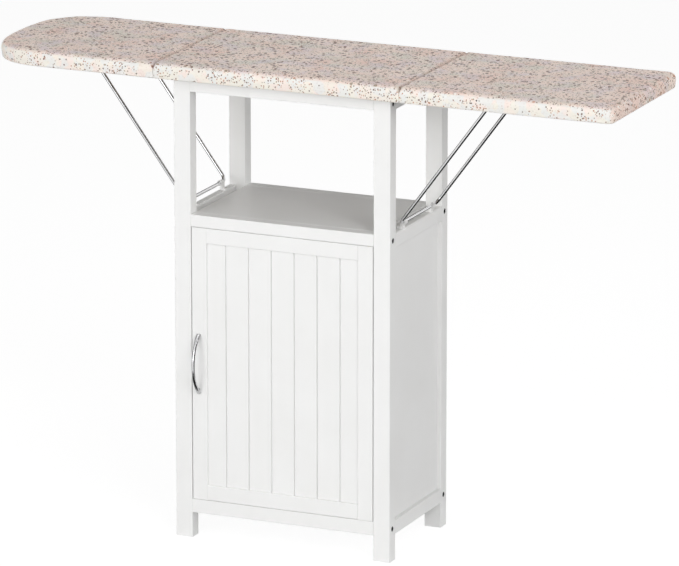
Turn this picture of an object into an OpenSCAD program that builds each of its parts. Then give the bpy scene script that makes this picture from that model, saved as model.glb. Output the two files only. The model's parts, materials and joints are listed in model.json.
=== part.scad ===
// Ironing board cabinet: a painted post-and-rail cabinet with a door and an open shelf,
// under a padded board in three sections. The two end sections hinge down, and each
// stands on a wire strut whose foot snaps into clips on the cabinet's side rail.
// X runs along the board, -Y is the front with the door, Z is up. The origin is on the
// floor, below the middle of the board's whole length and depth.

/* [Cabinet] */
// Width of the cabinet across its posts
cabinet_w = 420; // [380:5:440]
// Depth of the cabinet across its posts
cabinet_d = 260; // [240:5:280]
// Height of the cabinet, to the underside of the board
cabinet_h = 852; // [800:2:900]
// Width of a post, seen from the front
post_w = 32; // [28:1:38]
// Depth of a post, front to back
post_d = 26; // [24:1:32]
// Rounding of the painted wooden edges
edge_r = 1.2; // [0.6:0.1:1.8]

/* [Rails] */
// Depth of the front and back rails
rail_t = 22; // [20:1:24]
// Thickness of the side rails
side_rail_t = 14; // [13:1:18]
// Height of the four rails under the board
top_rail_h = 25; // [22:1:32]
// Height of the front and back rails at the open shelf
shelf_rail_h = 22; // [20:1:28]
// Height of the side rails at the open shelf
side_shelf_rail_h = 26; // [22:1:30]
// Height of the four bottom rails
bottom_rail_h = 26; // [22:1:32]
// Floor to the underside of the bottom rails
foot_h = 47; // [30:1:70]
// Slope cut on the outer top edge of the side rails at the shelf
side_rail_slope = 2; // [1.5:0.5:3]

/* [Shelves and panels] */
// Floor to the top of the open shelf
shelf_z = 602; // [560:2:640]
// Floor to the top of the inner shelf
inner_shelf_z = 334; // [250:2:420]
// Thickness of the shelves and the bottom panel
shelf_t = 12; // [10:1:16]
// Width of the battens that carry the shelves
batten_w = 18; // [14:1:24]
// Height of the battens that carry the shelves
batten_h = 14; // [10:1:16]
// Thickness of the side panels and the back panel
panel_t = 4; // [3:0.5:5]
// How far the side panels lie behind the face of the posts
panel_recess = 8; // [6:0.5:8]
// Depth of the grooves that hold the panels
groove_d = 5; // [4:0.5:6]

/* [Door] */
// Thickness of the door frame
door_t = 18; // [16:1:20]
// Gap between the door and the posts
door_gap = 1.5; // [1.5:0.1:2.5]
// Gap above and below the door
door_end_gap = 0.6; // [0.5:0.1:1.5]
// Width of the door's stiles
stile_w = 29; // [26:1:36]
// Height of the door's rails
door_rail_h = 28; // [26:1:36]
// Thickness of the bead-board panel
bead_panel_t = 6; // [5:0.5:7]
// How far the bead-board panel lies behind the door's face
bead_recess = 4; // [3:0.5:6]
// Number of grooves in the bead-board
bead_count = 6; // [3:1:9]
// Distance between two grooves
bead_pitch = 44.6; // [25:0.2:46]
// Width of a groove
bead_w = 2.6; // [2:0.2:4]
// Depth of a groove
bead_d = 3; // [1:0.2:3.6]
// Door's pivot, in from the post's face
pivot_in = 10; // [10:0.5:12]
// Door's pivot, back from the door's face
pivot_back = 5; // [4.7:0.1:5.5]

/* [Handle] */
// Distance between the handle's two screws
handle_centres = 96; // [64:32:128]
// How far the handle stands out from the door
handle_out = 26; // [20:1:34]
// Floor to the middle of the handle
handle_z = 327.5; // [250:0.5:450]
// Width of the handle at its ends
handle_end_w = 9; // [7:0.5:12]
// Width of the handle at its middle
handle_mid_w = 6; // [5:0.5:8]

/* [Board] */
// How far the board's middle section reaches past the cabinet at each side
seam_overhang = 27.5; // [26:0.5:40]
// Length of the right leaf
right_leaf_len = 402.5; // [350:2.5:450]
// Length of the left leaf, to its rounded tip
left_leaf_len = 346.5; // [300:0.5:380]
// How far the board reaches past the cabinet at the front and at the back
board_overhang = 30; // [27:1:50]
// Thickness of the wooden core
core_t = 16; // [14:1:18]
// Thickness of the padded cover on top of the core
pad_t = 12; // [8:1:16]
// Gap between two sections of the board
seam_gap = 0.5; // [0.5:0.1:1.5]
// Radius of the right leaf's corners
right_corner_r = 15; // [10:1:40]
// Length of the left leaf's rounded end
left_end_a = 140; // [100:1:170]
// Fullness of the left leaf's end: 2 is an ellipse, more is squarer
left_end_n = 2.75; // [2:0.05:3]

/* [Struts] */
// Diameter of the wire
strut_wire_d = 6; // [5:0.5:7]
// Distance between a strut's two legs
strut_w = 170; // [140:5:180]
// Strut's pivot, out from the leaf's hinge
strut_pivot_out = 141.5; // [135:0.5:150]
// Strut's pivot, below the underside of the board
strut_pivot_drop = 7; // [7:0.5:9]
// Strut's foot, in from the cabinet's side face
strut_foot_in = 2; // [1:0.5:2.5]
// Strut's foot, above the side rail
strut_foot_up = 11.6; // [11:0.2:14]

/* [Hardware] */
// Radius of the frame bolts' shanks
bolt_r = 3; // [2.5:0.25:3.5]
// Radius of the frame bolts' heads
bolt_head_r = 4.6; // [4:0.1:5]
// Radius of the hinge pins
hinge_pin_r = 1.5; // [1:0.1:1.8]
// Radius of the hinge knuckles
hinge_knuckle_r = 3.2; // [2.8:0.1:3.4]
// Length of a hinge along the seam
hinge_len = 50; // [40:5:70]
// Thickness of the hinge plates and strut brackets
plate_t = 2; // [1.5:0.1:2.5]
// Distance between the two hinges of a seam
hinge_spacing = 170; // [120:5:200]
// Running clearance of pins and shafts, on the radius
run_clear = 0.05; // [0.03:0.01:0.08]

/* [Hidden] */
// Every cut runs 1 mm past the faces that it opens
$fn = 32;

PAINT = [0.94, 0.94, 0.93];
CORE = [0.80, 0.66, 0.48];
CLOTH = [0.82, 0.77, 0.74];
STEEL = [0.75, 0.76, 0.78];
DARK_STEEL = [0.25, 0.25, 0.26];
BRASS = [0.78, 0.66, 0.38];
DOWEL = [0.85, 0.72, 0.52];
PLASTIC = [0.95, 0.95, 0.95];

// The board is centred on the origin, and the cabinet is centred under its middle section
centre_len = cabinet_w + 2 * seam_overhang;
board_d = cabinet_d + 2 * board_overhang;
total_len = left_leaf_len + centre_len + right_leaf_len;
right_seam_x = total_len / 2 - right_leaf_len;
left_seam_x = -total_len / 2 + left_leaf_len;
cabinet_cx = (left_seam_x + right_seam_x) / 2;
cabinet_x0 = cabinet_cx - cabinet_w / 2;
cabinet_y0 = -cabinet_d / 2;

// Spans between the posts
inner_w = cabinet_w - 2 * post_w;
inner_d = cabinet_d - 2 * post_d;

// Heights of the rails
top_rail_z = cabinet_h - top_rail_h;
shelf_rail_z = shelf_z - shelf_rail_h;
side_shelf_rail_z = shelf_z - side_shelf_rail_h;
bottom_rail_top = foot_h + bottom_rail_h;

// Frame bolts and their cross nuts
bolt_y = 13;
bolt_zs = [foot_h + bottom_rail_h / 2, shelf_z - shelf_rail_h / 2, cabinet_h - top_rail_h / 2];
bolt_head_h = 6;
bolt_recess = 6.5;
bolt_head_clear = 0.4;
bolt_recess_r = bolt_head_r + bolt_head_clear;
bolt_clear = 0.1;
bolt_hole_r = bolt_r + bolt_clear;
bolt_reach = 30;
bolt_end_clear = 2;
bolt_socket_r = 2.9;
bolt_socket_d = 3.5;
nut_r = 5;
nut_len = 14;
nut_in = 22;

// Dowels between the side rails and the posts
dowel_r = 3;
dowel_post_depth = 7;
dowel_rail_depth = 16;
dowel_zs = [foot_h + bottom_rail_h / 2, shelf_z - side_shelf_rail_h / 2, cabinet_h - top_rail_h / 2];

// Panels in their grooves
side_panel_z0 = bottom_rail_top - groove_d;
side_panel_z1 = side_shelf_rail_z + groove_d;
back_panel_y = 10;
back_panel_z0 = bottom_rail_top - groove_d;
back_panel_z1 = shelf_rail_z + groove_d;

// Shelves
shelf_seat_w = 12;
open_batten_w = post_w - side_rail_t + shelf_seat_w;
shelf_slack = 1;

// Door, in the cabinet's own corner coordinates
door_x0 = post_w + door_gap;
door_x1 = cabinet_w - post_w - door_gap;
door_z0 = bottom_rail_top + door_end_gap;
door_z1 = shelf_rail_z - door_end_gap;
door_h = door_z1 - door_z0;
door_groove_d = 8;
tongue_in = 8;
bead_x0 = door_x0 + stile_w - door_groove_d;
bead_x1 = door_x1 - stile_w + door_groove_d;
bead_z0 = door_z0 + door_rail_h - door_groove_d;
bead_z1 = door_z1 - door_rail_h + door_groove_d;
pivot_x = cabinet_w - post_w - pivot_in;
pivot_pin_r = 2;
pivot_pin_depth = 13;
bush_r = 3.6;
bush_len = 12;
bush_gap = 0.3;
bush_rise = door_end_gap - bush_gap;
pin_end_clear = 1;

// Magnet catch and its strike plate
catch_x = 64;
catch_w = 40;
catch_d = 16;
magnet_w = 28;
magnet_h = 7;
magnet_drop = 1;
magnet_top_z = shelf_rail_z - magnet_drop;
strike_t = 1.2;
strike_gap = 0.3;
strike_w = 24;
strike_h = 6;

// Handle: a bow on an arc, ground flat where it meets the door
handle_in = 13;
handle_x = door_x0 + handle_in;
handle_foot_r = 3.6;
handle_foot_d = 6;
handle_mid_t = 4;
handle_end_t = 6;
handle_over = 6;
handle_half = handle_centres / 2 + handle_over;
handle_rise = handle_out - handle_mid_t / 2;
handle_arc_r = (handle_half * handle_half + handle_rise * handle_rise) / (2 * handle_rise);
handle_arc_a = asin(handle_half / handle_arc_r);
handle_screw_r = 1.9;
handle_screw_depth = 5;
handle_screw_head_r = 3.6;
handle_screw_head_h = 2.4;
handle_screw_slack = 0.3;

// Board: heights, and how far each layer lies in from the widest outline
board_half_d = board_d / 2;
hem_t = 1.2;
hem_w = 12;
bulge_drop = 1;
pad_bulge_z = cabinet_h + core_t - bulge_drop;
pad_bottom_z = cabinet_h - hem_t;
crown = 0.8;
pad_top_z = cabinet_h + core_t + pad_t;
pad_rim_z = pad_top_z - crown;
free_tuck = 3;
seam_tuck = 0.8;
free_round = 10;
seam_round = 2.5;
crown_in = 50;
core_in = 14;
core_seam_in = 4;
seam_corner_r = 4;
ring_steps = [-1, -0.75, -0.5, -0.25];
ring_angles = [0, 18, 36, 54, 72, 90];

// Hinges: the pin runs along Y just under the seam
hinge_drop = 3.4;
hinge_z = cabinet_h - hinge_drop;
hinge_plate_w = 25;
hinge_knuckles = 5;
knuckle_len = hinge_len / hinge_knuckles;
knuckle_gap = 0.2;
hinge_plate_start = hinge_knuckle_r + 0.5;
hinge_screw_y = 15;
hinge_screw_in = 9;

// Wood screws
screw_r = 1.75;
screw_head_r = 3.5;
screw_head_h = 1.8;
screw_len = 13;
board_screw_len = 38;
board_screw_r = 2;
board_screw_head_r = 4;
board_screw_head_h = 3;
board_screw_x = 90;

// Struts, in the plane of the right leaf's hinge; the left one is its mirror image
wire_r = strut_wire_d / 2;
strut_px = right_seam_x + strut_pivot_out;
strut_pz = cabinet_h - strut_pivot_drop;
strut_cx = cabinet_cx + cabinet_w / 2 - strut_foot_in;
strut_cz = shelf_z + strut_foot_up;
strut_dx = strut_cx - strut_px;
strut_dz = strut_cz - strut_pz;
strut_len = sqrt(strut_dx * strut_dx + strut_dz * strut_dz);
strut_tilt = atan2(strut_dx, strut_dz);
strut_top_bend = 6;
strut_foot_bend = 14;
strut_pin_len = 7;
ear_t = 2.5;
ear_w = 16;
ear_gap = 2.5;
ear_y = strut_w / 2 + strut_top_bend + ear_gap;
bracket_w = 26;
bracket_in = 19;
bracket_screw_x = 8;
bracket_screw_y = 12;

// Snap clips for the foot of a strut
clip_w = 10;
clip_in = 8;
clip_y = strut_w / 2 - strut_foot_bend - clip_in;
clip_wall = 2.4;
clip_base_t = 3;
clip_mouth_a = 62;
clip_mouth_h = strut_wire_d * 0.7;

module cabinet() {
    translate([cabinet_x0, cabinet_y0, 0]) children();
}

// The cabinet's left half as its right half, in the cabinet's corner coordinates
module to_right() {
    translate([cabinet_w, 0, 0]) mirror([1, 0, 0]) children();
}

module to_back() {
    translate([0, cabinet_d, 0]) mirror([0, 1, 0]) children();
}

// A piece of the right leaf as one of the left leaf, in the part's own coordinates
module to_left() {
    translate([2 * cabinet_cx, 0, 0]) mirror([1, 0, 0]) children();
}

module round_rect(w, h, r) {
    translate([r, 0]) square([w - 2 * r, h]);
    translate([0, r]) square([w, h - 2 * r]);
    for (x = [r, w - r], y = [r, h - r]) translate([x, y]) circle(r);
}

module bar_x(l, d, h) {
    rotate([90, 0, 90]) linear_extrude(l) round_rect(d, h, edge_r);
}

module bar_y(w, l, h) {
    translate([0, l, 0]) rotate([90, 0, 0]) linear_extrude(l) round_rect(w, h, edge_r);
}

module bar_z(w, d, l) {
    linear_extrude(l) round_rect(w, d, edge_r);
}

module rod_x(r, l) {
    rotate([0, 90, 0]) cylinder(r = r, h = l);
}

module rod_y(r, l) {
    rotate([-90, 0, 0]) cylinder(r = r, h = l);
}

// Post at the front left; the others are its mirror images
module post(is_back) {
    color(PAINT) difference() {
        bar_z(post_w, post_d, cabinet_h);
        for (z = bolt_zs) {
            translate([-1, bolt_y, z]) rod_x(bolt_hole_r, post_w + 2);
            translate([-1, bolt_y, z]) rod_x(bolt_recess_r, bolt_recess + 1);
        }
        for (z = dowel_zs) {
            translate([side_rail_t / 2, post_d - dowel_post_depth, z]) rod_y(dowel_r, dowel_post_depth + 1);
        }
        translate([panel_recess, post_d - groove_d, side_panel_z0])
            cube([panel_t, groove_d + 1, side_panel_z1 - side_panel_z0]);
        if (is_back) {
            translate([post_w - groove_d, back_panel_y, back_panel_z0])
                cube([groove_d + 1, panel_t, back_panel_z1 - back_panel_z0]);
        }
    }
}

// Holes for the bolt and the cross nut at both ends of a front or back rail
module rail_fixings(h) {
    for (side = [0, 1]) {
        translate([side * inner_w, 0, 0]) mirror([side, 0, 0]) {
            translate([-1, bolt_y, h / 2]) rod_x(bolt_hole_r, bolt_reach + bolt_end_clear + 1);
            translate([nut_in, bolt_y - nut_len / 2, h / 2]) rod_y(nut_r, rail_t);
        }
    }
}

// Front or back rail with its outer face on y = 0
module long_rail(z, h) {
    color(PAINT) translate([post_w, 0, z]) difference() {
        bar_x(inner_w, rail_t, h);
        rail_fixings(h);
    }
}

module front_shelf_rail() {
    cabinet() difference() {
        long_rail(shelf_rail_z, shelf_rail_h);
        translate([pivot_x, pivot_back, shelf_rail_z - 1]) cylinder(r = bush_r, h = bush_len + 1);
    }
}

module front_bottom_rail() {
    cabinet() difference() {
        long_rail(foot_h, bottom_rail_h);
        translate([pivot_x, pivot_back, bottom_rail_top - bush_len]) cylinder(r = bush_r, h = bush_len + 1);
    }
}

module back_panel_slot(z) {
    translate([post_w - 1, back_panel_y, z]) cube([inner_w + 2, panel_t, groove_d]);
}

module back_shelf_rail() {
    cabinet() to_back() difference() {
        long_rail(shelf_rail_z, shelf_rail_h);
        back_panel_slot(shelf_rail_z);
    }
}

module back_bottom_rail() {
    cabinet() to_back() difference() {
        long_rail(foot_h, bottom_rail_h);
        back_panel_slot(back_panel_z0);
    }
}

// Left side rail with a dowel hole in each end
module side_rail(z, h) {
    color(PAINT) difference() {
        translate([0, post_d, z]) bar_y(side_rail_t, inner_d, h);
        for (y = [post_d - 1, cabinet_d - post_d - dowel_rail_depth]) {
            translate([side_rail_t / 2, y, z + h / 2]) rod_y(dowel_r, dowel_rail_depth + 1);
        }
    }
}

module side_panel_slot(z) {
    translate([panel_recess, post_d - 1, z]) cube([panel_t, inner_d + 2, groove_d]);
}

// The outer top edge is sloped, so that the strut's foot swings past it
module side_shelf_rail() {
    difference() {
        side_rail(side_shelf_rail_z, side_shelf_rail_h);
        side_panel_slot(side_shelf_rail_z);
        translate([0, cabinet_d, shelf_z]) rotate([90, 0, 0]) linear_extrude(cabinet_d)
            polygon([[-1, -side_rail_slope - 1], [side_rail_slope + 1, 1], [-1, 1]]);
    }
}

module side_bottom_rail() {
    difference() {
        side_rail(foot_h, bottom_rail_h);
        side_panel_slot(side_panel_z0);
    }
}

module side_panel() {
    color(PAINT) translate([panel_recess, post_d - groove_d, side_panel_z0])
        cube([panel_t, inner_d + 2 * groove_d, side_panel_z1 - side_panel_z0]);
}

module back_panel() {
    color(PAINT) cabinet() to_back() translate([post_w - groove_d, back_panel_y, back_panel_z0])
        cube([inner_w + 2 * groove_d, panel_t, back_panel_z1 - back_panel_z0]);
}

// Floor of the closed compartment, notched round the posts
module bottom_panel() {
    color(PAINT) cabinet() difference() {
        translate([side_rail_t, rail_t, bottom_rail_top - shelf_t])
            cube([cabinet_w - 2 * side_rail_t, cabinet_d - 2 * rail_t, shelf_t]);
        for (x = [0, cabinet_w - post_w], y = [0, cabinet_d - post_d]) {
            translate([x, y, 0]) cube([post_w, post_d, cabinet_h]);
        }
    }
}

// Its sides stop at the posts' inner faces, which leaves a trough beside each side rail
module open_shelf() {
    color(PAINT) cabinet() translate([post_w, rail_t, shelf_z - shelf_t])
        bar_x(inner_w, cabinet_d - 2 * rail_t, shelf_t);
}

module inner_shelf() {
    inset = panel_recess + panel_t + shelf_slack;
    color(PAINT) cabinet() translate([inset, post_d + shelf_slack, inner_shelf_z - shelf_t])
        bar_x(cabinet_w - 2 * inset, inner_d - 2 * shelf_slack, shelf_t);
}

// A pair of battens between the posts, with their top at the given height
module battens(w, top_z) {
    color(PAINT) cabinet() {
        batten(w, top_z);
        to_right() batten(w, top_z);
    }
}

module batten(w, top_z) {
    translate([side_rail_t, post_d, top_z - batten_h]) cube([w, inner_d, batten_h]);
}

module at_bolts() {
    cabinet() for (z = bolt_zs) {
        translate([0, bolt_y, z]) children();
        to_right() translate([0, bolt_y, z]) children();
        to_back() translate([0, bolt_y, z]) children();
        to_back() to_right() translate([0, bolt_y, z]) children();
    }
}

module frame_bolt() {
    color(DARK_STEEL) difference() {
        union() {
            translate([bolt_recess - bolt_head_h, 0, 0]) rod_x(bolt_head_r, bolt_head_h);
            translate([bolt_recess, 0, 0]) rod_x(bolt_r, post_w + bolt_reach - bolt_recess);
        }
        translate([bolt_recess - bolt_head_h - 1, 0, 0]) rotate([0, 90, 0])
            cylinder(r = bolt_socket_r, h = bolt_socket_d + 1, $fn = 6);
    }
}

module barrel_nut() {
    color(STEEL) translate([post_w + nut_in, 0, 0]) difference() {
        translate([0, -nut_len / 2, 0]) rod_y(nut_r, nut_len);
        translate([-nut_r - 1, 0, 0]) rod_x(bolt_r + run_clear, 2 * nut_r + 2);
    }
}

module wood_dowel(z) {
    translate([side_rail_t / 2, post_d - dowel_post_depth, z])
        rod_y(dowel_r, dowel_post_depth + dowel_rail_depth);
}

module wood_dowels() {
    color(DOWEL) cabinet() for (z = dowel_zs) {
        wood_dowel(z);
        to_right() wood_dowel(z);
        to_back() wood_dowel(z);
        to_back() to_right() wood_dowel(z);
    }
}

// Board outlines: a quarter of a superellipse at each far corner, arcs at the seam
function far_corner(x1, half, a, b, n, t) =
    [x1 - a + a * pow(cos(t), 2 / n), half - b + b * pow(sin(t), 2 / n)];
function flip_y(p) = [p[0], -p[1]];
function seam_corner(x0, half, r, t) = [x0 + r - r * sin(t), half - r + r * cos(t)];

// Outline of a leaf whose seam is at x = 0 and whose tip is at x = len,
// drawn in by in_free on its free edges and by in_seam on the seam
function leaf_ring(len, a, b, n, steps, in_free, in_seam) =
    let (x1 = len - in_free, half = board_half_d - in_free)
    let (aa = max(a - in_free, 2), bb = max(b - in_free, 2), r = seam_corner_r)
    concat(
        [for (i = [0:steps]) far_corner(x1, half, aa, bb, n, 90 * i / steps)],
        [for (i = [0:3]) seam_corner(in_seam, half, r, 30 * i)],
        [for (i = [3:-1:0]) flip_y(seam_corner(in_seam, half, r, 30 * i))],
        [for (i = [steps:-1:0]) flip_y(far_corner(x1, half, aa, bb, n, 90 * i / steps))]
    );

// Outline of the middle section, which has a seam at both ends and is centred on x = 0
function centre_ring(in_free, in_seam) =
    let (half = board_half_d - in_free, x0 = -centre_len / 2 + in_seam, r = seam_corner_r)
    let (quarter = [for (i = [0:3]) seam_corner(x0, half, r, 30 * i)])
    concat(
        [for (i = [3:-1:0]) [-quarter[i][0], quarter[i][1]]],
        quarter,
        [for (i = [3:-1:0]) flip_y(quarter[i])],
        [for (i = [0:3]) [-quarter[i][0], -quarter[i][1]]]
    );

// Height and inset of the padded cover's rings, from its hem to its crown
function lower_ring(u, tuck) = tuck * pow(-u, 1.8);
function upper_ring(a, round) = round * (1 - cos(a));
ring_zs = concat(
    [for (u = ring_steps) pad_bulge_z + u * (pad_bulge_z - pad_bottom_z)],
    [for (a = ring_angles) pad_bulge_z + (pad_rim_z - pad_bulge_z) * sin(a)],
    [pad_top_z]
);
free_ins = concat(
    [for (u = ring_steps) lower_ring(u, free_tuck)],
    [for (a = ring_angles) upper_ring(a, free_round)],
    [free_round + crown_in]
);
seam_ins = concat(
    [for (u = ring_steps) seam_gap / 2 + lower_ring(u, seam_tuck)],
    [for (a = ring_angles) seam_gap / 2 + upper_ring(a, seam_round)],
    [seam_round + crown_in]
);
ring_last = len(ring_zs) - 1;

// Closed skin over a stack of outlines that have the same number of points
module loft(rings) {
    n = len(rings[0]);
    points = [for (k = [0:ring_last], p = rings[k]) [p[0], p[1], ring_zs[k]]];
    sides = [for (k = [0:ring_last - 1], i = [0:n - 1]) each [
        [k * n + i, (k + 1) * n + i, (k + 1) * n + (i + 1) % n],
        [k * n + i, (k + 1) * n + (i + 1) % n, k * n + (i + 1) % n]
    ]];
    bottom = [for (i = [0:n - 1]) i];
    top = [for (i = [n - 1:-1:0]) ring_last * n + i];
    polyhedron(points = points, faces = concat([bottom], sides, [top]));
}

module leaf_loft(len, a, b, n, steps) {
    loft([for (k = [0:ring_last]) leaf_ring(len, a, b, n, steps, free_ins[k], seam_ins[k])]);
}

// Padded cover: a skin round the core, open underneath inside its hem
module cover_from(core_outline, hem_outline) {
    difference() {
        children();
        translate([0, 0, cabinet_h]) linear_extrude(core_t) polygon(core_outline);
        translate([0, 0, pad_bottom_z - 1]) linear_extrude(hem_t + 1) polygon(hem_outline);
    }
}

module right_leaf_place() {
    translate([right_seam_x, 0, 0]) children();
}

module left_leaf_place() {
    translate([left_seam_x, 0, 0]) mirror([1, 0, 0]) children();
}

hem_in = core_in + hem_w;
right_core = leaf_ring(right_leaf_len, right_corner_r, right_corner_r, 2, 6, core_in, core_seam_in);
right_hem = leaf_ring(right_leaf_len, right_corner_r, right_corner_r, 2, 6, hem_in, -seam_corner_r);
left_flat = 1;
left_b = board_half_d - left_flat;
left_core = leaf_ring(left_leaf_len, left_end_a, left_b, left_end_n, 14, core_in, core_seam_in);
left_hem = leaf_ring(left_leaf_len, left_end_a, left_b, left_end_n, 14, hem_in, -seam_corner_r);
centre_outline = centre_ring(core_in, core_seam_in);
centre_hem = centre_ring(hem_in, -seam_corner_r);

module core(outline) {
    translate([0, 0, cabinet_h]) linear_extrude(core_t) polygon(outline);
}

module right_leaf_cover() {
    color(CLOTH) right_leaf_place() cover_from(right_core, right_hem)
        leaf_loft(right_leaf_len, right_corner_r, right_corner_r, 2, 6);
}

module left_leaf_cover() {
    color(CLOTH) left_leaf_place() cover_from(left_core, left_hem)
        leaf_loft(left_leaf_len, left_end_a, left_b, left_end_n, 14);
}

module centre_cover() {
    color(CLOTH) translate([cabinet_cx, 0, 0]) cover_from(centre_outline, centre_hem)
        loft([for (k = [0:ring_last]) centre_ring(free_ins[k], seam_ins[k])]);
}

module right_leaf_core() {
    color(CORE) difference() {
        right_leaf_place() core(right_core);
        right_screw_places() screw_shape();
    }
}

module left_leaf_core() {
    color(CORE) difference() {
        left_leaf_place() core(left_core);
        to_left() right_screw_places() screw_shape();
    }
}

module centre_core() {
    color(CORE) difference() {
        translate([cabinet_cx, 0, 0]) core(centre_outline);
        board_hinge_screw_places() screw_shape();
        board_screw_places() board_screw_shape();
    }
}

// Countersunk wood screw, head down, with the head's face at the plate's underside
module screw_shape() {
    translate([0, 0, cabinet_h - plate_t]) {
        cylinder(r1 = screw_head_r, r2 = screw_r, h = screw_head_h);
        cylinder(r = screw_r, h = screw_len);
    }
}

module at_hinges() {
    for (s = [-1, 1]) translate([0, s * hinge_spacing / 2, 0]) children();
}

module hinge_screw_places() {
    at_hinges() for (s = [-1, 1]) translate([hinge_plate_w - hinge_screw_in, s * hinge_screw_y, 0]) children();
}

module board_hinge_screw_places() {
    translate([right_seam_x, 0, 0]) mirror([1, 0, 0]) hinge_screw_places() children();
    to_left() translate([right_seam_x, 0, 0]) mirror([1, 0, 0]) hinge_screw_places() children();
}

module bracket_screw_places() {
    for (s = [-1, 1], dx = [-bracket_screw_x, bracket_screw_x]) {
        translate([strut_px + dx, s * (ear_y - bracket_screw_y), 0]) children();
    }
}

module right_screw_places() {
    translate([right_seam_x, 0, 0]) hinge_screw_places() children();
    bracket_screw_places() children();
}

// Screws that hold the middle section down on the top rails
module board_screw_shape() {
    translate([0, 0, top_rail_z]) {
        cylinder(r1 = board_screw_head_r, r2 = board_screw_r, h = board_screw_head_h);
        cylinder(r = board_screw_r, h = board_screw_len);
    }
}

module board_screw_places() {
    cabinet() for (s = [-1, 1], y = [rail_t / 2, cabinet_d - rail_t / 2]) {
        translate([cabinet_w / 2 + s * board_screw_x, y, 0]) children();
    }
}

module front_top_rail() {
    color(PAINT) difference() {
        cabinet() long_rail(top_rail_z, top_rail_h);
        board_screw_places() board_screw_shape();
    }
}

module back_top_rail() {
    color(PAINT) difference() {
        cabinet() to_back() long_rail(top_rail_z, top_rail_h);
        board_screw_places() board_screw_shape();
    }
}

// One half of a butt hinge, on the +X side of its pin; odd knuckles belong to the leaf
module hinge_half(first) {
    difference() {
        union() {
            translate([hinge_plate_start, -hinge_len / 2, hinge_drop - plate_t])
                cube([hinge_plate_w - hinge_plate_start, hinge_len, plate_t]);
            for (i = [first:2:hinge_knuckles - 1]) {
                y0 = -hinge_len / 2 + i * knuckle_len + knuckle_gap / 2;
                translate([0, y0, 0]) rod_y(hinge_knuckle_r, knuckle_len - knuckle_gap);
                translate([0, y0, hinge_drop - plate_t])
                    cube([hinge_plate_start + 1, knuckle_len - knuckle_gap, plate_t - (hinge_drop - hinge_knuckle_r)]);
            }
        }
        translate([0, -hinge_len / 2 - 1, 0]) rod_y(hinge_pin_r + first * run_clear, hinge_len + 2);
    }
}

module leaf_hinges() {
    color(STEEL) difference() {
        translate([right_seam_x, 0, hinge_z]) at_hinges() hinge_half(1);
        right_screw_places() screw_shape();
    }
}

module board_hinges() {
    difference() {
        translate([right_seam_x, 0, hinge_z]) mirror([1, 0, 0]) at_hinges() hinge_half(0);
        board_hinge_screw_places() screw_shape();
    }
}

module hinge_board_plates() {
    color(STEEL) {
        board_hinges();
        to_left() board_hinges();
    }
}

module seam_pins() {
    translate([right_seam_x, 0, hinge_z]) at_hinges()
        translate([0, -hinge_len / 2, 0]) rod_y(hinge_pin_r, hinge_len);
}

module hinge_pins() {
    color(DARK_STEEL) {
        seam_pins();
        to_left() seam_pins();
    }
}

// Wire strut, drawn flat: the legs run along +Y and the foot along X
module strut_flat() {
    half = strut_w / 2;
    for (s = [0, 1]) mirror([s, 0, 0]) {
        translate([half, strut_top_bend, 0])
            rotate([-90, 0, 0]) cylinder(r = wire_r, h = strut_len - strut_top_bend - strut_foot_bend);
        translate([half + strut_top_bend, strut_top_bend, 0]) rotate([0, 0, 180])
            rotate_extrude(angle = 90) translate([strut_top_bend, 0]) circle(wire_r);
        translate([half + strut_top_bend, 0, 0]) rod_x(wire_r, strut_pin_len);
        translate([half - strut_foot_bend, strut_len - strut_foot_bend, 0])
            rotate_extrude(angle = 90) translate([strut_foot_bend, 0]) circle(wire_r);
    }
    translate([-half + strut_foot_bend, strut_len, 0]) rod_x(wire_r, strut_w - 2 * strut_foot_bend);
}

module right_strut() {
    color(STEEL) translate([strut_px, 0, strut_pz])
        rotate([0, strut_tilt, 0]) rotate([90, 0, 90]) strut_flat();
}

// Bracket under the leaf with one ear for the strut's bent end
module strut_bracket() {
    difference() {
        union() {
            translate([-bracket_w / 2, ear_t - bracket_in, strut_pivot_drop - plate_t])
                cube([bracket_w, bracket_in, plate_t]);
            translate([-ear_w / 2, 0, 0]) cube([ear_w, ear_t, strut_pivot_drop - plate_t]);
            rod_y(ear_w / 2, ear_t);
        }
        translate([0, -1, 0]) rod_y(wire_r + run_clear, ear_t + 2);
        translate([-ear_w, -1, strut_pivot_drop]) cube([2 * ear_w, ear_t + 2, ear_w]);
    }
}

module right_strut_brackets() {
    color(STEEL) difference() {
        for (s = [0, 1]) mirror([0, s, 0]) translate([strut_px, ear_y, strut_pz]) strut_bracket();
        right_screw_places() screw_shape();
    }
}

module right_leaf_screws() {
    color(STEEL) right_screw_places() screw_shape();
}

// Snap clip: a ring with a mouth that faces up and outwards, on a foot on the rail
module strut_clip() {
    outer_r = wire_r + clip_wall;
    rail_in = side_rail_t - strut_foot_in;
    translate([0, -clip_w / 2, 0]) difference() {
        union() {
            rod_y(outer_r, clip_w);
            translate([-rail_in, 0, -strut_foot_up]) cube([rail_in, clip_w, clip_base_t]);
            translate([-outer_r, 0, -strut_foot_up]) cube([outer_r, clip_w, strut_foot_up]);
        }
        translate([0, -1, 0]) rod_y(wire_r + run_clear, clip_w + 2);
        translate([0, -1, 0]) rotate([0, -clip_mouth_a, 0])
            translate([0, 0, -clip_mouth_h / 2]) cube([3 * outer_r, clip_w + 2, clip_mouth_h]);
    }
}

module right_strut_clips() {
    color(PLASTIC) for (s = [-1, 1]) translate([strut_cx, s * clip_y, strut_cz]) strut_clip();
}

// Door
module door_stile(x0) {
    translate([x0, 0, door_z0]) bar_z(stile_w, door_t, door_h);
}

module door_groove(z0, z1) {
    translate([bead_x0, bead_recess, z0]) cube([bead_x1 - bead_x0, bead_panel_t, z1 - z0]);
}

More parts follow.
